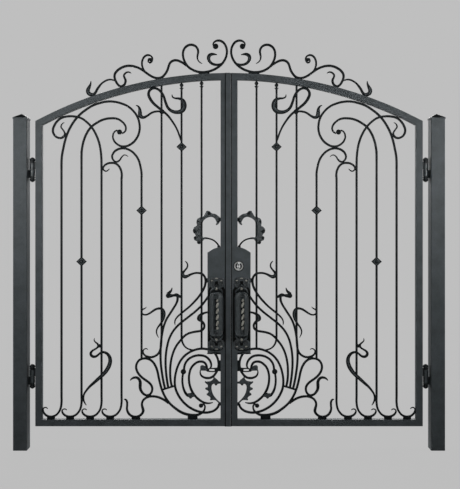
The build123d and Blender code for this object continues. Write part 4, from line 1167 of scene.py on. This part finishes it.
def grip_part():
    """The rounded, fluted grip, its length along Y and standing off towards +Z."""
    part = bmesh.new()
    verts = [part.verts.new((x * MM, 0, h * MM)) for x, h in GRIP_SECTION]
    face = part.faces.new(verts)
    bmesh.ops.translate(part, vec=(0, -GRIP_HALF, 0), verts=verts)

    def shrink(verts, share):
        centre = Matrix.Translation((0, verts[0].co.y, GRIP_AXIS))
        bmesh.ops.scale(part, vec=(share, 1, share), space=centre.inverted(), verts=verts)

    run = [(-GRIP_HALF + offset * MM, share) for offset, share in GRIP_ENDS]
    run += [(-y, share) for y, share in reversed(run)]
    shrink(verts, run[0][1])
    previous = run[0][1]
    end = face
    for y, share in run[1:]:
        grown = bmesh.ops.extrude_face_region(part, geom=[face])["geom"]
        if face is not end:
            # The face that was grown from would stay behind inside the grip.
            bmesh.ops.delete(part, geom=[face], context="FACES_ONLY")
        verts = [g for g in grown if isinstance(g, bmesh.types.BMVert)]
        face = [g for g in grown if isinstance(g, bmesh.types.BMFace)][0]
        bmesh.ops.translate(part, vec=(0, y - verts[0].co.y, 0), verts=verts)
        shrink(verts, share / previous)
        previous = share
    return part


def rubbed_and_highlight_part():
    """Crests of the castings, pale from hand wear and from painted highlight."""
    part = bmesh.new()
    for way in (-1, 1):
        for across_way, along, rise, size, tilt in RUBBED_AND_HIGHLIGHT_TIPS:
            for side in (1, -1) if across_way else (1,):
                spot = Matrix.Translation((side * across_way * MM, way * along * MM, rise * MM))
                add_part(part, lobe(size), spot @ Matrix.Rotation(way * tilt, 4, "X"))
    return part


def rope_part():
    """Rope moulding down the middle of the grip: slanted beads, one above the other."""
    part = bmesh.new()
    for along, half_length in ROPE_BEADS:
        bead = lobe((BEAD_HALF[0], half_length, BEAD_HALF[1]))
        add_part(part, bead, Matrix.Translation((0, along * MM, 0)) @ Matrix.Rotation(BEAD_LEAN, 4, "Z"))
    return part


def shade_sheet_part(face):
    """Black sheet between a handle and its leaf: painted shade round the handle."""
    outline = [
        (GASKET_INNER + GASKET_INSET, GASKET_HEAD, True), (GASKET_OUTER - GASKET_INSET, GASKET_HEAD, True),
        (GASKET_OUTER, GASKET_HEAD - GASKET_SLOPE, False), (GASKET_OUTER, GASKET_FOOT + GASKET_SLOPE, False),
        (GASKET_OUTER - GASKET_INSET, GASKET_FOOT, True), (GASKET_INNER + GASKET_INSET, GASKET_FOOT, True),
        (GASKET_INNER, GASKET_FOOT + GASKET_SLOPE, False), (GASKET_INNER, GASKET_HEAD - GASKET_SLOPE, False),
    ]
    part = plate(outline, GASKET_HALF, GASKET_EASE)
    bmesh.ops.translate(part, vec=(0, face * FRAME_FACE, 0), verts=part.verts)
    return part


def over_foot(u, height):
    """A point in millimetres: u, and the height over the foot of the lock box."""
    return u * MM, LOCK_FOOT + height * MM


def build_handles(side_name):
    """The castings of a handle and the gasket behind it, on both faces of a leaf."""
    names = {name: bmesh.new() for name in ("rosettes", "grips", "shade_beds", "ropes", "shade_sheets")}
    for face in (-1, 1):
        where = outward(HANDLE_OFFSET, face * FRAME_FACE, HANDLE_MIDDLE, face)
        add_part(names["rosettes"], handle_part(), where)
        add_part(names["grips"], grip_part(), where)
        add_part(names["shade_beds"], block(BED_LOW, BED_HIGH, BED_EASE), where)
        # The rope is the same casting on both leaves, so it is turned over before a leaf is mirrored.
        hand = SIDES[side_name]
        middle = Matrix.Translation((hand * ROPE_OFFSET, 0, ROPE_DEPTH)) @ Matrix.Diagonal((hand, 1, 1, 1))
        add_part(names["ropes"], rope_part(), where @ middle)
        add_part(names["ropes"], rubbed_and_highlight_part(), where)
        add_part(names["shade_sheets"], shade_sheet_part(face))
        for rib in FOOT_RIBS:
            add_part(names["shade_beds"], relief(over_foot, rib, face, RIB_DEPTH, FRAME_FACE + RIB_PROUD))
        # A black disc in each rosette's middle, in the sheets' coat: painted shade.
        for way in (-1, 1):
            floor = Matrix.Translation((0, way * ROSETTE_REACH, 0))
            add_part(names["shade_sheets"], turned(SHADE_DISC_PROFILE, 24), where @ floor)
    # Beds and sheets are near black as painted shade; the crests' pale coat is partly painted highlight.
    paints = {
        "rosettes": cast_paint(), "grips": cast_paint(), "shade_beds": shaded_bar_paint(), "ropes": worn_and_highlight_paint(),
        "shade_sheets": black_shade_coat(),
    }
    for name, made in names.items():
        put_in_leaf(made, SIDES[side_name])
        finish_piece(
            made, f"{side_name}_handle_{name}", f"{side_name}_leaf", paints[name],
            [f"{side_name}_handles"], 50,
        )


def diamond(half_width, half_height, foot, head, taper):
    """A four-cornered plate lying flat, or a low pyramid where it tapers."""
    part = bmesh.new()
    bmesh.ops.create_cone(
        part, cap_ends=True, segments=4, radius1=half_width, radius2=half_width * taper, depth=head - foot,
    )
    bmesh.ops.scale(part, vec=(1, half_height / half_width, 1), verts=part.verts)
    bmesh.ops.bevel(
        part, geom=part.edges, offset=COLLAR_EASE, segments=2, affect="EDGES", profile=0.5, material=-1,
    )
    bmesh.ops.translate(part, vec=(0, 0, (head + foot) / 2), verts=part.verts)
    return part


def build_small_castings(side_name):
    """Diamond collars and the finials over the inner bars."""
    rims, faces = bmesh.new(), bmesh.new()
    sizes = bpy.context.scene.gate_sizes
    half_width, half_height = sizes.collar_half_width, sizes.collar_half_height
    for number, depth in COLLARS.items():
        u, z = hung(number, depth)
        rim = diamond(half_width, half_height, -COLLAR_HALF, COLLAR_HALF, 1)
        add_part(rims, rim, outward(u, 0, z, 1))
        for face in (-1, 1):
            where = outward(u, 0, z, face)
            add_part(faces, diamond(
                half_width - COLLAR_EDGE, half_height - COLLAR_EDGE, COLLAR_FACE_FOOT, COLLAR_FACE_HEAD,
                COLLAR_TAPER,
            ), where)
            add_part(rims, turned(COLLAR_RING), where)
            add_part(faces, turned(COLLAR_BOSS), where)
    for name, made, paint in (("rims", rims, shaded_bar_paint()), ("cast", faces, cast_paint())):
        put_in_leaf(made, SIDES[side_name])
        finish_piece(
            made, f"{side_name}_collars_{name}", f"{side_name}_leaf", paint,
            [f"{side_name}_collars"],
        )
    finials = bmesh.new()
    for number in FINIAL_BARS:
        u = across(number)
        add_part(finials, turned(FINIAL_PROFILE), Matrix.Translation((u, 0, arch_under(u) - FINIAL_HEIGHT)))
    put_in_leaf(finials, SIDES[side_name])
    finish_piece(
        finials, f"{side_name}_finials_turned", f"{side_name}_leaf", hinge_paint(),
        [f"{side_name}_finials"], 50,
    )


def build_hinges(side_name):
    """Hinge knuckles with domed ends: the lower ones stay on the post, the upper ones swing."""
    for node, up, from_u, to_u, body in (
        ("hinge_pins", -1, HINGE_U, LEAF_OUTER + HINGE_GAP, "posts"),
        ("hinge_sockets", 1, LEAF_OUTER, HINGE_U, f"{side_name}_leaf"),
    ):
        barrels, acorns = bmesh.new(), bmesh.new()
        turn = Matrix.Identity(4) if up > 0 else Matrix.Rotation(math.pi, 4, "X")
        for height in HINGE_HEIGHTS:
            spot = Matrix.Translation((HINGE_U, HINGE_BACK, height + up * THRUST_GAP / 2))
            add_part(barrels, turned(KNUCKLE_PROFILE), spot @ turn)
            add_part(acorns, turned(ACORN_PROFILE), spot @ turn)
            low_z, high_z = sorted((height + up * TAB_START, height + up * TAB_END))
            add_part(acorns, block(
                (from_u, HINGE_BACK - TAB_HALF, low_z), (to_u, HINGE_BACK + TAB_HALF, high_z), WELD_EASE,
            ))
        for name, made, paint in (("barrels", barrels, cast_paint()), ("acorns", acorns, hinge_paint())):
            put_in_leaf(made, SIDES[side_name])
            finish_piece(
                made, f"{side_name}_{node}_{name}", body, paint, [f"{side_name}_{node}"],
            )


def build_lock_cylinder():
    """Round lock cylinder in its escutcheon on both faces of the right leaf."""
    ring, rim, plug = bmesh.new(), bmesh.new(), bmesh.new()
    for face in (-1, 1):
        where = outward(CYLINDER_U, face * FRAME_FACE, CYLINDER_HEIGHT, face)
        add_part(ring, turned(ESCUTCHEON_PROFILE, 40), where)
        add_part(rim, turned(CYLINDER_RIM, 40), where)
        add_part(plug, turned(CYLINDER_PLUG, 32), where)
        add_part(plug, block(*CYLINDER_BRIDGE, BRIDGE_EASE), where)
        add_part(ring, block(*KEYWAY, KEYWAY_EASE), where)
        add_part(ring, turned(KEY_HOLE, 16), where @ Matrix.Translation((0, KEY_HOLE_UP, 0)))
    for name, made, slot, paint in (
        ("rim_turned", rim, "lock_metal", satin_nickel()),
        ("escutcheon", ring, "hinge_paint", hinge_paint()),
        ("cylinder_turned", plug, "lock_metal", chrome()),
    ):
        put_in_leaf(made, 1)
        finish_piece(made, f"right_lock_{name}", "right_leaf", paint, ["right_lock_cylinder"])


ACANTHUS_OUTLINE = [
    (8.72, 158), (8.745, 172), (8.7, 186), (8.62, 198), (8.5, 204), (8.35, 202), (8.18, 192),
    (8.07, 176), (8.04, 150), (8.03, 120), (8.06, 92), (8.12, 78), (8.05, 64), (7.97, 52), (7.87, 48),
    (7.81, 56), (7.74, 66), (7.64, 71), (7.62, 82), (7.7, 94), (7.64, 110), (7.57, 128), (7.62, 144),
    (7.75, 156), (7.74, 174), (7.78, 192), (7.92, 202), (8.08, 208), (8.17, 224), (8.26, 239),
    (8.4, 237), (8.52, 226), (8.68, 222), (8.82, 212), (8.93, 198), (8.935, 184), (8.89, 172),
    (8.8, 160),
]
ACANTHUS_SPINE = [
    (8.2, 80, 7), (8.08, 82, 8), (7.95, 92, 9), (7.88, 112, 9), (7.86, 136, 8), (7.9, 160, 7),
    (8.0, 184, 6), (8.14, 203, 6), (8.33, 214, 6), (8.52, 212, 6), (8.68, 205, 6), (8.8, 192, 6),
    (8.84, 178, 5), (8.76, 164, 3),
]
ACANTHUS_VEINS = [
    [(7.98, 86, 5), (7.93, 72, 6), (7.87, 58, 4)], [(7.92, 98, 5), (7.8, 88, 6), (7.7, 82, 4)],
    [(7.88, 122, 5), (7.78, 126, 8), (7.66, 129, 5)], [(7.9, 160, 5), (7.85, 174, 7), (7.79, 186, 4)],
    [(8.2, 206, 5), (8.26, 218, 7), (8.29, 228, 4)], [(8.6, 208, 5), (8.68, 212, 6), (8.74, 214, 4)],
]
# Rounded lobes on the leaf's edge, painted near black as the shade in them: (column, height, radius).
ACANTHUS_LOBES = [
    (8.35, 227, 12), (8.41, 221, 9), (8.885, 190, 12), (8.84, 179, 9), (7.82, 178, 9),
    (7.68, 121, 12.5), (7.64, 128, 9), (7.69, 84, 10), (7.86, 58, 10.5),
]
ACANTHUS_FOOT = (8.86, 33, 9)
# Half the body's thickness and its rounding, how deep the spine and the veins are and how far they
# stand from the middle plane, the stem's thickness, and how far the lobes, near black as painted
# shade, stand out.
ACANTHUS_HALF, ACANTHUS_EASE = 5.5 * MM, 4 * MM
SPINE_DEPTH, SPINE_STANDING = 6 * MM, 4.4 * MM
VEIN_DEPTH, VEIN_STANDING = 5 * MM, 4.2 * MM
STEM_THICKNESS = 10 * MM
LOBES_STANDING = 8.4


def relief(place, points, face, depth, standing):
    """A raised line on one face of a casting, from its middle plane out to where it stands."""
    part = stroke(place, points, depth, soft=True)
    bmesh.ops.translate(part, vec=(0, face * standing, 0), verts=part.verts)
    return part


def build_acanthus(side_name):
    """Cast acanthus leaf in relief: body with spine and veins, dished lobes painted dark as shade, thin
    stem.
    """
    made, knobs = bmesh.new(), bmesh.new()
    for place, points in ACANTHUS_LEAF_STROKES:
        add_part(knobs, stroke(place, points, STEM_THICKNESS, soft=True))
    body = [(*by_lock(column, height), True) for column, height in ACANTHUS_OUTLINE]
    add_part(made, plate(body, ACANTHUS_HALF, ACANTHUS_EASE))
    for face in (-1, 1):
        add_part(made, relief(by_lock, ACANTHUS_SPINE, face, SPINE_DEPTH, SPINE_STANDING))
        for vein in ACANTHUS_VEINS:
            add_part(made, relief(by_lock, vein, face, VEIN_DEPTH, VEIN_STANDING))
    add_part(knobs, ball(by_lock, *ACANTHUS_FOOT))
    for column, height, radius in ACANTHUS_LOBES:
        add_part(knobs, ball(by_lock, column, height, radius, LOBES_STANDING / radius))
    # The lobes share the stem's near-black bar coat: painted shade.
    for name, shape, paint in (("cast", made, cast_paint()), ("knobs", knobs, shaded_bar_paint())):
        put_in_leaf(shape, SIDES[side_name])
        finish_piece(
            shape, f"{side_name}_acanthus_leaf_{name}", f"{side_name}_leaf", paint,
            [f"{side_name}_acanthus_leaf"], 50,
        )


def upright_edge(edge):
    """Edges that stand up along a post."""
    a, b = (v.co for v in edge.verts)
    return abs(a.x - b.x) < 1e-5 and abs(a.y - b.y) < 1e-5


def any_edge(edge):
    """Every sharp edge."""
    return True


def build_post(side_name):
    """Post with its pressed cap, whose sloping top carries a darker coat as painted shade."""
    sizes = bpy.context.scene.gate_sizes
    build_copy(
        f"{side_name}_post_tube", f"{side_name}_post", "posts", tube_paint(),
        sizes.post_ease, upright_edge,
    )
    cap = build_copy(
        f"{side_name}_post_cap_pressed", f"{side_name}_post_cap", "posts", tube_paint(),
        sizes.cap_ease, any_edge,
    )
    # Faces that look up take the darker hinge coat: painted shade on the cap's top.
    cap.data.materials.append(hinge_paint())
    for face in cap.data.polygons:
        face.material_index = 1 if face.normal.z > CAP_SHADE_SLOPE else 0


def build_frame(side_name):
    """Tubes of one leaf. The lock box and the meeting stile are one piece, ground flush."""
    ease = bpy.context.scene.gate_sizes.tube_ease
    for name, (outline, nodes) in frame_outlines(ease).items():
        made = plate(outline, FRAME_FACE, ease)
        put_in_leaf(made, SIDES[side_name])
        finish_piece(
            made, f"{side_name}_{name}_tube", f"{side_name}_leaf", tube_paint(),
            [f"{side_name}_{node}" for node in nodes],
        )


def build_meeting_strip():
    """Cover strip of the left leaf with its thin lip, and a black seal beside each as painted shade."""
    stile_edge = GATE_MIDDLE + LEAF_INNER
    foot, head = STRIP_LOW.z, STRIP_HIGH.z - STRIP_SHORT
    lip = block(
        (STRIP_HIGH.x - LIP_UNDER, STRIP_LOW.y + LIP_BACK, foot),
        (stile_edge - bpy.context.scene.gate_sizes.lip_gap, STRIP_HIGH.y + LIP_ROOT, head), LIP_EASE,
    )
    finish_piece(lip, "left_meeting_lip_coated", "left_leaf", tube_paint())
    seal = block(
        (STRIP_LOW.x - SEAL_BESIDE, STRIP_LOW.y - SEAL_PROUD, foot),
        (STRIP_LOW.x + SEAL_UNDER, -FRAME_FACE, head), SEAL_EASE,
    )
    finish_piece(seal, "left_strip_seal_painted_shade", "left_leaf", black_shade_coat())
    seal = block(
        (stile_edge + STILE_SEAL_FROM, -FRAME_FACE - STILE_SEAL_PROUD, foot),
        (stile_edge + STILE_SEAL_TO, -FRAME_FACE + STILE_SEAL_ROOT, head), SEAL_EASE,
    )
    finish_piece(seal, "right_stile_seal_painted_shade", "right_leaf", black_shade_coat())
    build_copy(
        "left_cover_strip_bar", "left_cover_strip", "left_leaf", tube_paint(),
        STRIP_EASE, any_edge,
    )


def coat_colour(name, description, hex_colour):
    """A colour that a user can change, in the linear values that shaders take."""
    return bpy.props.FloatVectorProperty(
        name=name, description=description, default=linear(hex_colour)[:3], subtype="COLOR", min=0, max=1,
    )


def length(name, description, metres):
    """A length that a user can change."""
    return bpy.props.FloatProperty(
        name=name, description=description, default=metres, subtype="DISTANCE", unit="LENGTH", min=0,
    )


class GateColours(bpy.types.PropertyGroup):
    """Colours of the coats: dark where a coat lies thin, light where it lies thick."""

    tube_dark: coat_colour("Tubes, dark", "Coat of the frames and posts where it lies thin", "#33393a")
    tube_light: coat_colour("Tubes, light", "Coat of the frames and posts where it lies thick", "#494e52")
    # The bars' coat is darker than the tubes' coat: painted shade.
    bar_dark: coat_colour("Bars, dark", "Coat of the forged bars and scrolls where it lies thin", "#0b0e0f")
    bar_light: coat_colour("Bars, light", "Coat of the bars and scrolls where it lies thick", "#1b2022")
    cast_dark: coat_colour("Castings, dark", "Coat of the castings where it lies thin", "#1d2223")
    cast_light: coat_colour("Castings, light", "Coat of the castings where it lies thick", "#40474a")
    # The leaf forms' coat is paler than the bars' coat: painted highlight.
    leaf_dark: coat_colour("Leaf forms, dark", "Coat of the forged leaves where it lies thin", "#272c2e")
    leaf_light: coat_colour("Leaf forms, light", "Coat of the forged leaves where it lies thick", "#444a4d")
    # The hinge coat is also the painted shade on the tops of the caps.
    hinge_dark: coat_colour("Hinges, dark", "Coat of the hinges and caps where it lies thin", "#0d1011")
    hinge_light: coat_colour("Hinges, light", "Coat of the hinges and caps where it lies thick", "#1e2325")
    # The worn coat is partly hand wear and partly painted highlight.
    worn_dark: coat_colour("Worn coat, dark", "Hand-worn crests of the handles, duller parts", "#77776f")
    worn_light: coat_colour("Worn coat, light", "Hand-worn crests of the handles, bright parts", "#a3a19a")
    backdrop: coat_colour("Backdrop", "Plain tone of the studio's floor and backdrop", "#bfbfbf")


class GateSizes(bpy.types.PropertyGroup):
    """Sizes of the gate's details."""

    tube_ease: length("Tube edge", "Rounding of the frame tubes' edges", 2.5 * MM)
    post_ease: length("Post edge", "Rounding of the posts' upright edges", 4 * MM)
    cap_ease: length("Cap edge", "Rounding of the post caps' edges", 1.5 * MM)
    bar_depth: length("Bar depth", "Thickness of the forged bars and scrolls, front to back", BAR)
    collar_half_width: length("Collar half width", "From a diamond collar's middle to its side", 30 * MM)
    collar_half_height: length("Collar half height", "From a diamond collar's middle to its tip", 28 * MM)
    lip_gap: length("Lip gap", "Gap between the meeting lip and the other leaf's stile", 0.25 * MM)


def build_floor(scene):
    """A pale painted floor that runs into a backdrop of the same tone and keeps the gate's shadow."""
    made, tree = new_material("painted_studio_floor")
    path = add_node(tree, "ShaderNodeLightPath")
    seen = add_node(
        tree, "ShaderNodeMath", {"operation": "MAXIMUM"},
        links={0: path.outputs["Is Camera Ray"], 1: path.outputs["Is Glossy Ray"]},
    )
    place = add_node(tree, "ShaderNodeTexCoord").outputs["Object"]
    centred = add_node(
        tree, "ShaderNodeMapping", {"vector_type": "POINT"}, {"Location": (-GATE_MIDDLE, 0, 0)},
        {"Vector": place},
    )
    far = add_node(
        tree, "ShaderNodeVectorMath", {"operation": "LENGTH"}, links={0: centred.outputs["Vector"]},
    )
    (near, near_share), (end, end_share) = FLOOR_NEAR, FLOOR_FAR
    plain = add_node(
        tree, "ShaderNodeMapRange",
        values={"From Min": near, "From Max": end, "To Min": near_share, "To Max": end_share},
        links={"Value": far.outputs["Value"]},
    )
    share = add_node(
        tree, "ShaderNodeMath", {"operation": "MULTIPLY"},
        links={0: seen.outputs[0], 1: plain.outputs["Result"]},
    )
    diffuse = add_node(tree, "ShaderNodeBsdfDiffuse", values={"Color": linear("#939393")})
    backdrop = (*scene.gate_colours.backdrop, 1.0)
    glow = add_node(tree, "ShaderNodeEmission", values={"Color": backdrop, "Strength": 1.0})
    mixed = add_node(
        tree, "ShaderNodeMixShader",
        links={0: share.outputs[0], 1: diffuse.outputs[0], 2: glow.outputs[0]},
    )
    add_node(tree, "ShaderNodeOutputMaterial", links={"Surface": mixed.outputs[0]})
    ground = bmesh.new()
    bmesh.ops.create_grid(ground, x_segments=1, y_segments=1, size=FLOOR_HALF)
    mesh = bpy.data.meshes.new("studio_floor")
    ground.to_mesh(mesh)
    ground.free()
    mesh.materials.append(made)
    floor = bpy.data.objects.new("studio_floor", mesh)
    scene.collection.objects.link(floor)


def build_world(scene):
    """The backdrop's tone behind everything, and a faint fill light from all round."""
    world = bpy.data.worlds.new("studio")
    scene.world = world
    world.use_nodes = True
    tree = world.node_tree
    tree.nodes.clear()
    path = add_node(tree, "ShaderNodeLightPath")
    seen = add_node(
        tree, "ShaderNodeMath", {"operation": "MAXIMUM"},
        links={0: path.outputs["Is Camera Ray"], 1: path.outputs["Is Transmission Ray"]},
    )
    backdrop = (*scene.gate_colours.backdrop, 1.0)
    plain = add_node(tree, "ShaderNodeBackground", values={"Color": backdrop, "Strength": 1.0})
    fill = add_node(
        tree, "ShaderNodeBackground", values={"Color": linear("#ffffff"), "Strength": WORLD_FILL},
    )
    mixed = add_node(
        tree, "ShaderNodeMixShader", links={0: seen.outputs[0], 1: fill.outputs[0], 2: plain.outputs[0]},
    )
    add_node(tree, "ShaderNodeOutputWorld", links={"Surface": mixed.outputs[0]})


def hang_lamp(scene, name, place, aim, size, power, spread):
    """A soft lamp, with a twin on the other side when it hangs off the gate's middle."""
    for side in (-1, 1) if place[0] else (1,):
        light = bpy.data.lights.new(name, "AREA")
        light.shape = "RECTANGLE"
        light.size, light.size_y = size
        light.energy = power
        light.spread = math.radians(spread)
        made = bpy.data.objects.new(name, light)
        start, end = (Vector((GATE_MIDDLE + side * x, y, z)) for x, y, z in (place, aim))
        made.location = start
        made.rotation_euler = (end - start).to_track_quat("-Z", "Y").to_euler()
        scene.collection.objects.link(made)


def build_camera(scene):
    """The camera, level and square on to the street face."""
    camera = bpy.data.cameras.new("camera")
    camera.sensor_width = camera.sensor_height = SENSOR
    camera.lens = SENSOR / 2 / CAMERA_HALF_VIEW
    camera.shift_y = CAMERA_SHIFT
    camera.clip_start, camera.clip_end = 0.1, 100
    made = bpy.data.objects.new("camera", camera)
    made.location = Vector((GATE_MIDDLE, 0, 0)) + Vector(CAMERA_PLACE)
    made.rotation_euler = (math.pi / 2, 0, 0)
    scene.collection.objects.link(made)
    scene.camera = made
    scene.view_settings.view_transform = "Standard"


def on_both_sides(build):
    """Builds one thing for the left and the right side."""
    for side_name in SIDES:
        build(side_name)
    return {"FINISHED"}


class GATE_OT_posts(bpy.types.Operator):
    """Build the posts and their caps"""

    bl_idname = "gate.posts"
    bl_label = "Posts"

    def execute(self, context):
        return on_both_sides(build_post)


class GATE_OT_frames(bpy.types.Operator):
    """Build the tube frames of both leaves, with their lock boxes"""

    bl_idname = "gate.frames"
    bl_label = "Tube frames"

    def execute(self, context):
        return on_both_sides(build_frame)


class GATE_OT_meeting_strip(bpy.types.Operator):
    """Build the cover strip, its lip and the seals where the leaves meet"""

    bl_idname = "gate.meeting_strip"
    bl_label = "Meeting strip"

    def execute(self, context):
        build_meeting_strip()
        return {"FINISHED"}


class GATE_OT_bars(bpy.types.Operator):
    """Build the straight bars with their turned feet"""

    bl_idname = "gate.bars"
    bl_label = "Bars"

    def execute(self, context):
        return on_both_sides(build_bars)


class GATE_OT_scrollwork(bpy.types.Operator):
    """Build the forged scrolls, vines, stems and crest"""

    bl_idname = "gate.scrollwork"
    bl_label = "Scrollwork"

    def execute(self, context):
        for node, drawing in SCROLLWORK.items():
            on_both_sides(lambda side_name: build_scrollwork(node, side_name, drawing))
        return {"FINISHED"}


class GATE_OT_acanthus_leaves(bpy.types.Operator):
    """Build the cast acanthus leaves over the lock boxes"""

    bl_idname = "gate.acanthus_leaves"
    bl_label = "Acanthus leaves"

    def execute(self, context):
        return on_both_sides(build_acanthus)


class GATE_OT_handles(bpy.types.Operator):
    """Build the cast pull handles on their gaskets"""

    bl_idname = "gate.handles"
    bl_label = "Handles"

    def execute(self, context):
        return on_both_sides(build_handles)


class GATE_OT_collars(bpy.types.Operator):
    """Build the diamond collars and the finials"""

    bl_idname = "gate.collars"
    bl_label = "Collars and finials"

    def execute(self, context):
        return on_both_sides(build_small_castings)


class GATE_OT_hinges(bpy.types.Operator):
    """Build the knuckle hinges"""

    bl_idname = "gate.hinges"
    bl_label = "Hinges"

    def execute(self, context):
        return on_both_sides(build_hinges)


class GATE_OT_lock_cylinder(bpy.types.Operator):
    """Build the lock cylinder of the right leaf"""

    bl_idname = "gate.lock_cylinder"
    bl_label = "Lock cylinder"

    def execute(self, context):
        build_lock_cylinder()
        return {"FINISHED"}


class GATE_OT_stage(bpy.types.Operator):
    """Set up the floor, the lamps and the camera"""

    bl_idname = "gate.stage"
    bl_label = "Stage"

    def execute(self, context):
        build_floor(context.scene)
        build_world(context.scene)
        for lamp in LAMPS:
            hang_lamp(context.scene, *lamp)
        build_camera(context.scene)
        return {"FINISHED"}


class GATE_PT_panel(bpy.types.Panel):
    """Lists the gate's operators and settings"""

    bl_idname = "GATE_PT_panel"
    bl_label = "Gate"
    bl_space_type = "VIEW_3D"
    bl_region_type = "UI"
    bl_category = "Gate"

    def draw(self, context):
        for operator in OPERATORS:
            self.layout.operator(operator.bl_idname)
        for settings in (context.scene.gate_colours, context.scene.gate_sizes):
            for name in settings.__annotations__:
                self.layout.prop(settings, name)


OPERATORS = (
    GATE_OT_posts, GATE_OT_frames, GATE_OT_meeting_strip, GATE_OT_bars, GATE_OT_scrollwork,
    GATE_OT_acanthus_leaves, GATE_OT_handles, GATE_OT_collars, GATE_OT_hinges, GATE_OT_lock_cylinder,
    GATE_OT_stage,
)
CLASSES = (GateColours, GateSizes, *OPERATORS, GATE_PT_panel)


def register():
    """Adds the classes and the settings to Blender."""
    for cls in CLASSES:
        bpy.utils.register_class(cls)
    bpy.types.Scene.gate_colours = bpy.props.PointerProperty(type=GateColours)
    bpy.types.Scene.gate_sizes = bpy.props.PointerProperty(type=GateSizes)


def unregister():
    """Takes the classes and the settings out again."""
    del bpy.types.Scene.gate_sizes
    del bpy.types.Scene.gate_colours
    for cls in reversed(CLASSES):
        bpy.utils.unregister_class(cls)


def main():
    """Builds the gate and its studio."""
    register()
    bpy.ops.gate.posts()
    bpy.ops.gate.frames()
    bpy.ops.gate.meeting_strip()
    bpy.ops.gate.bars()
    bpy.ops.gate.scrollwork()
    bpy.ops.gate.acanthus_leaves()
    bpy.ops.gate.handles()
    bpy.ops.gate.collars()
    bpy.ops.gate.hinges()
    bpy.ops.gate.lock_cylinder()
    bpy.ops.gate.stage()
    remove_sections()


if __name__ == "__main__":
    main()
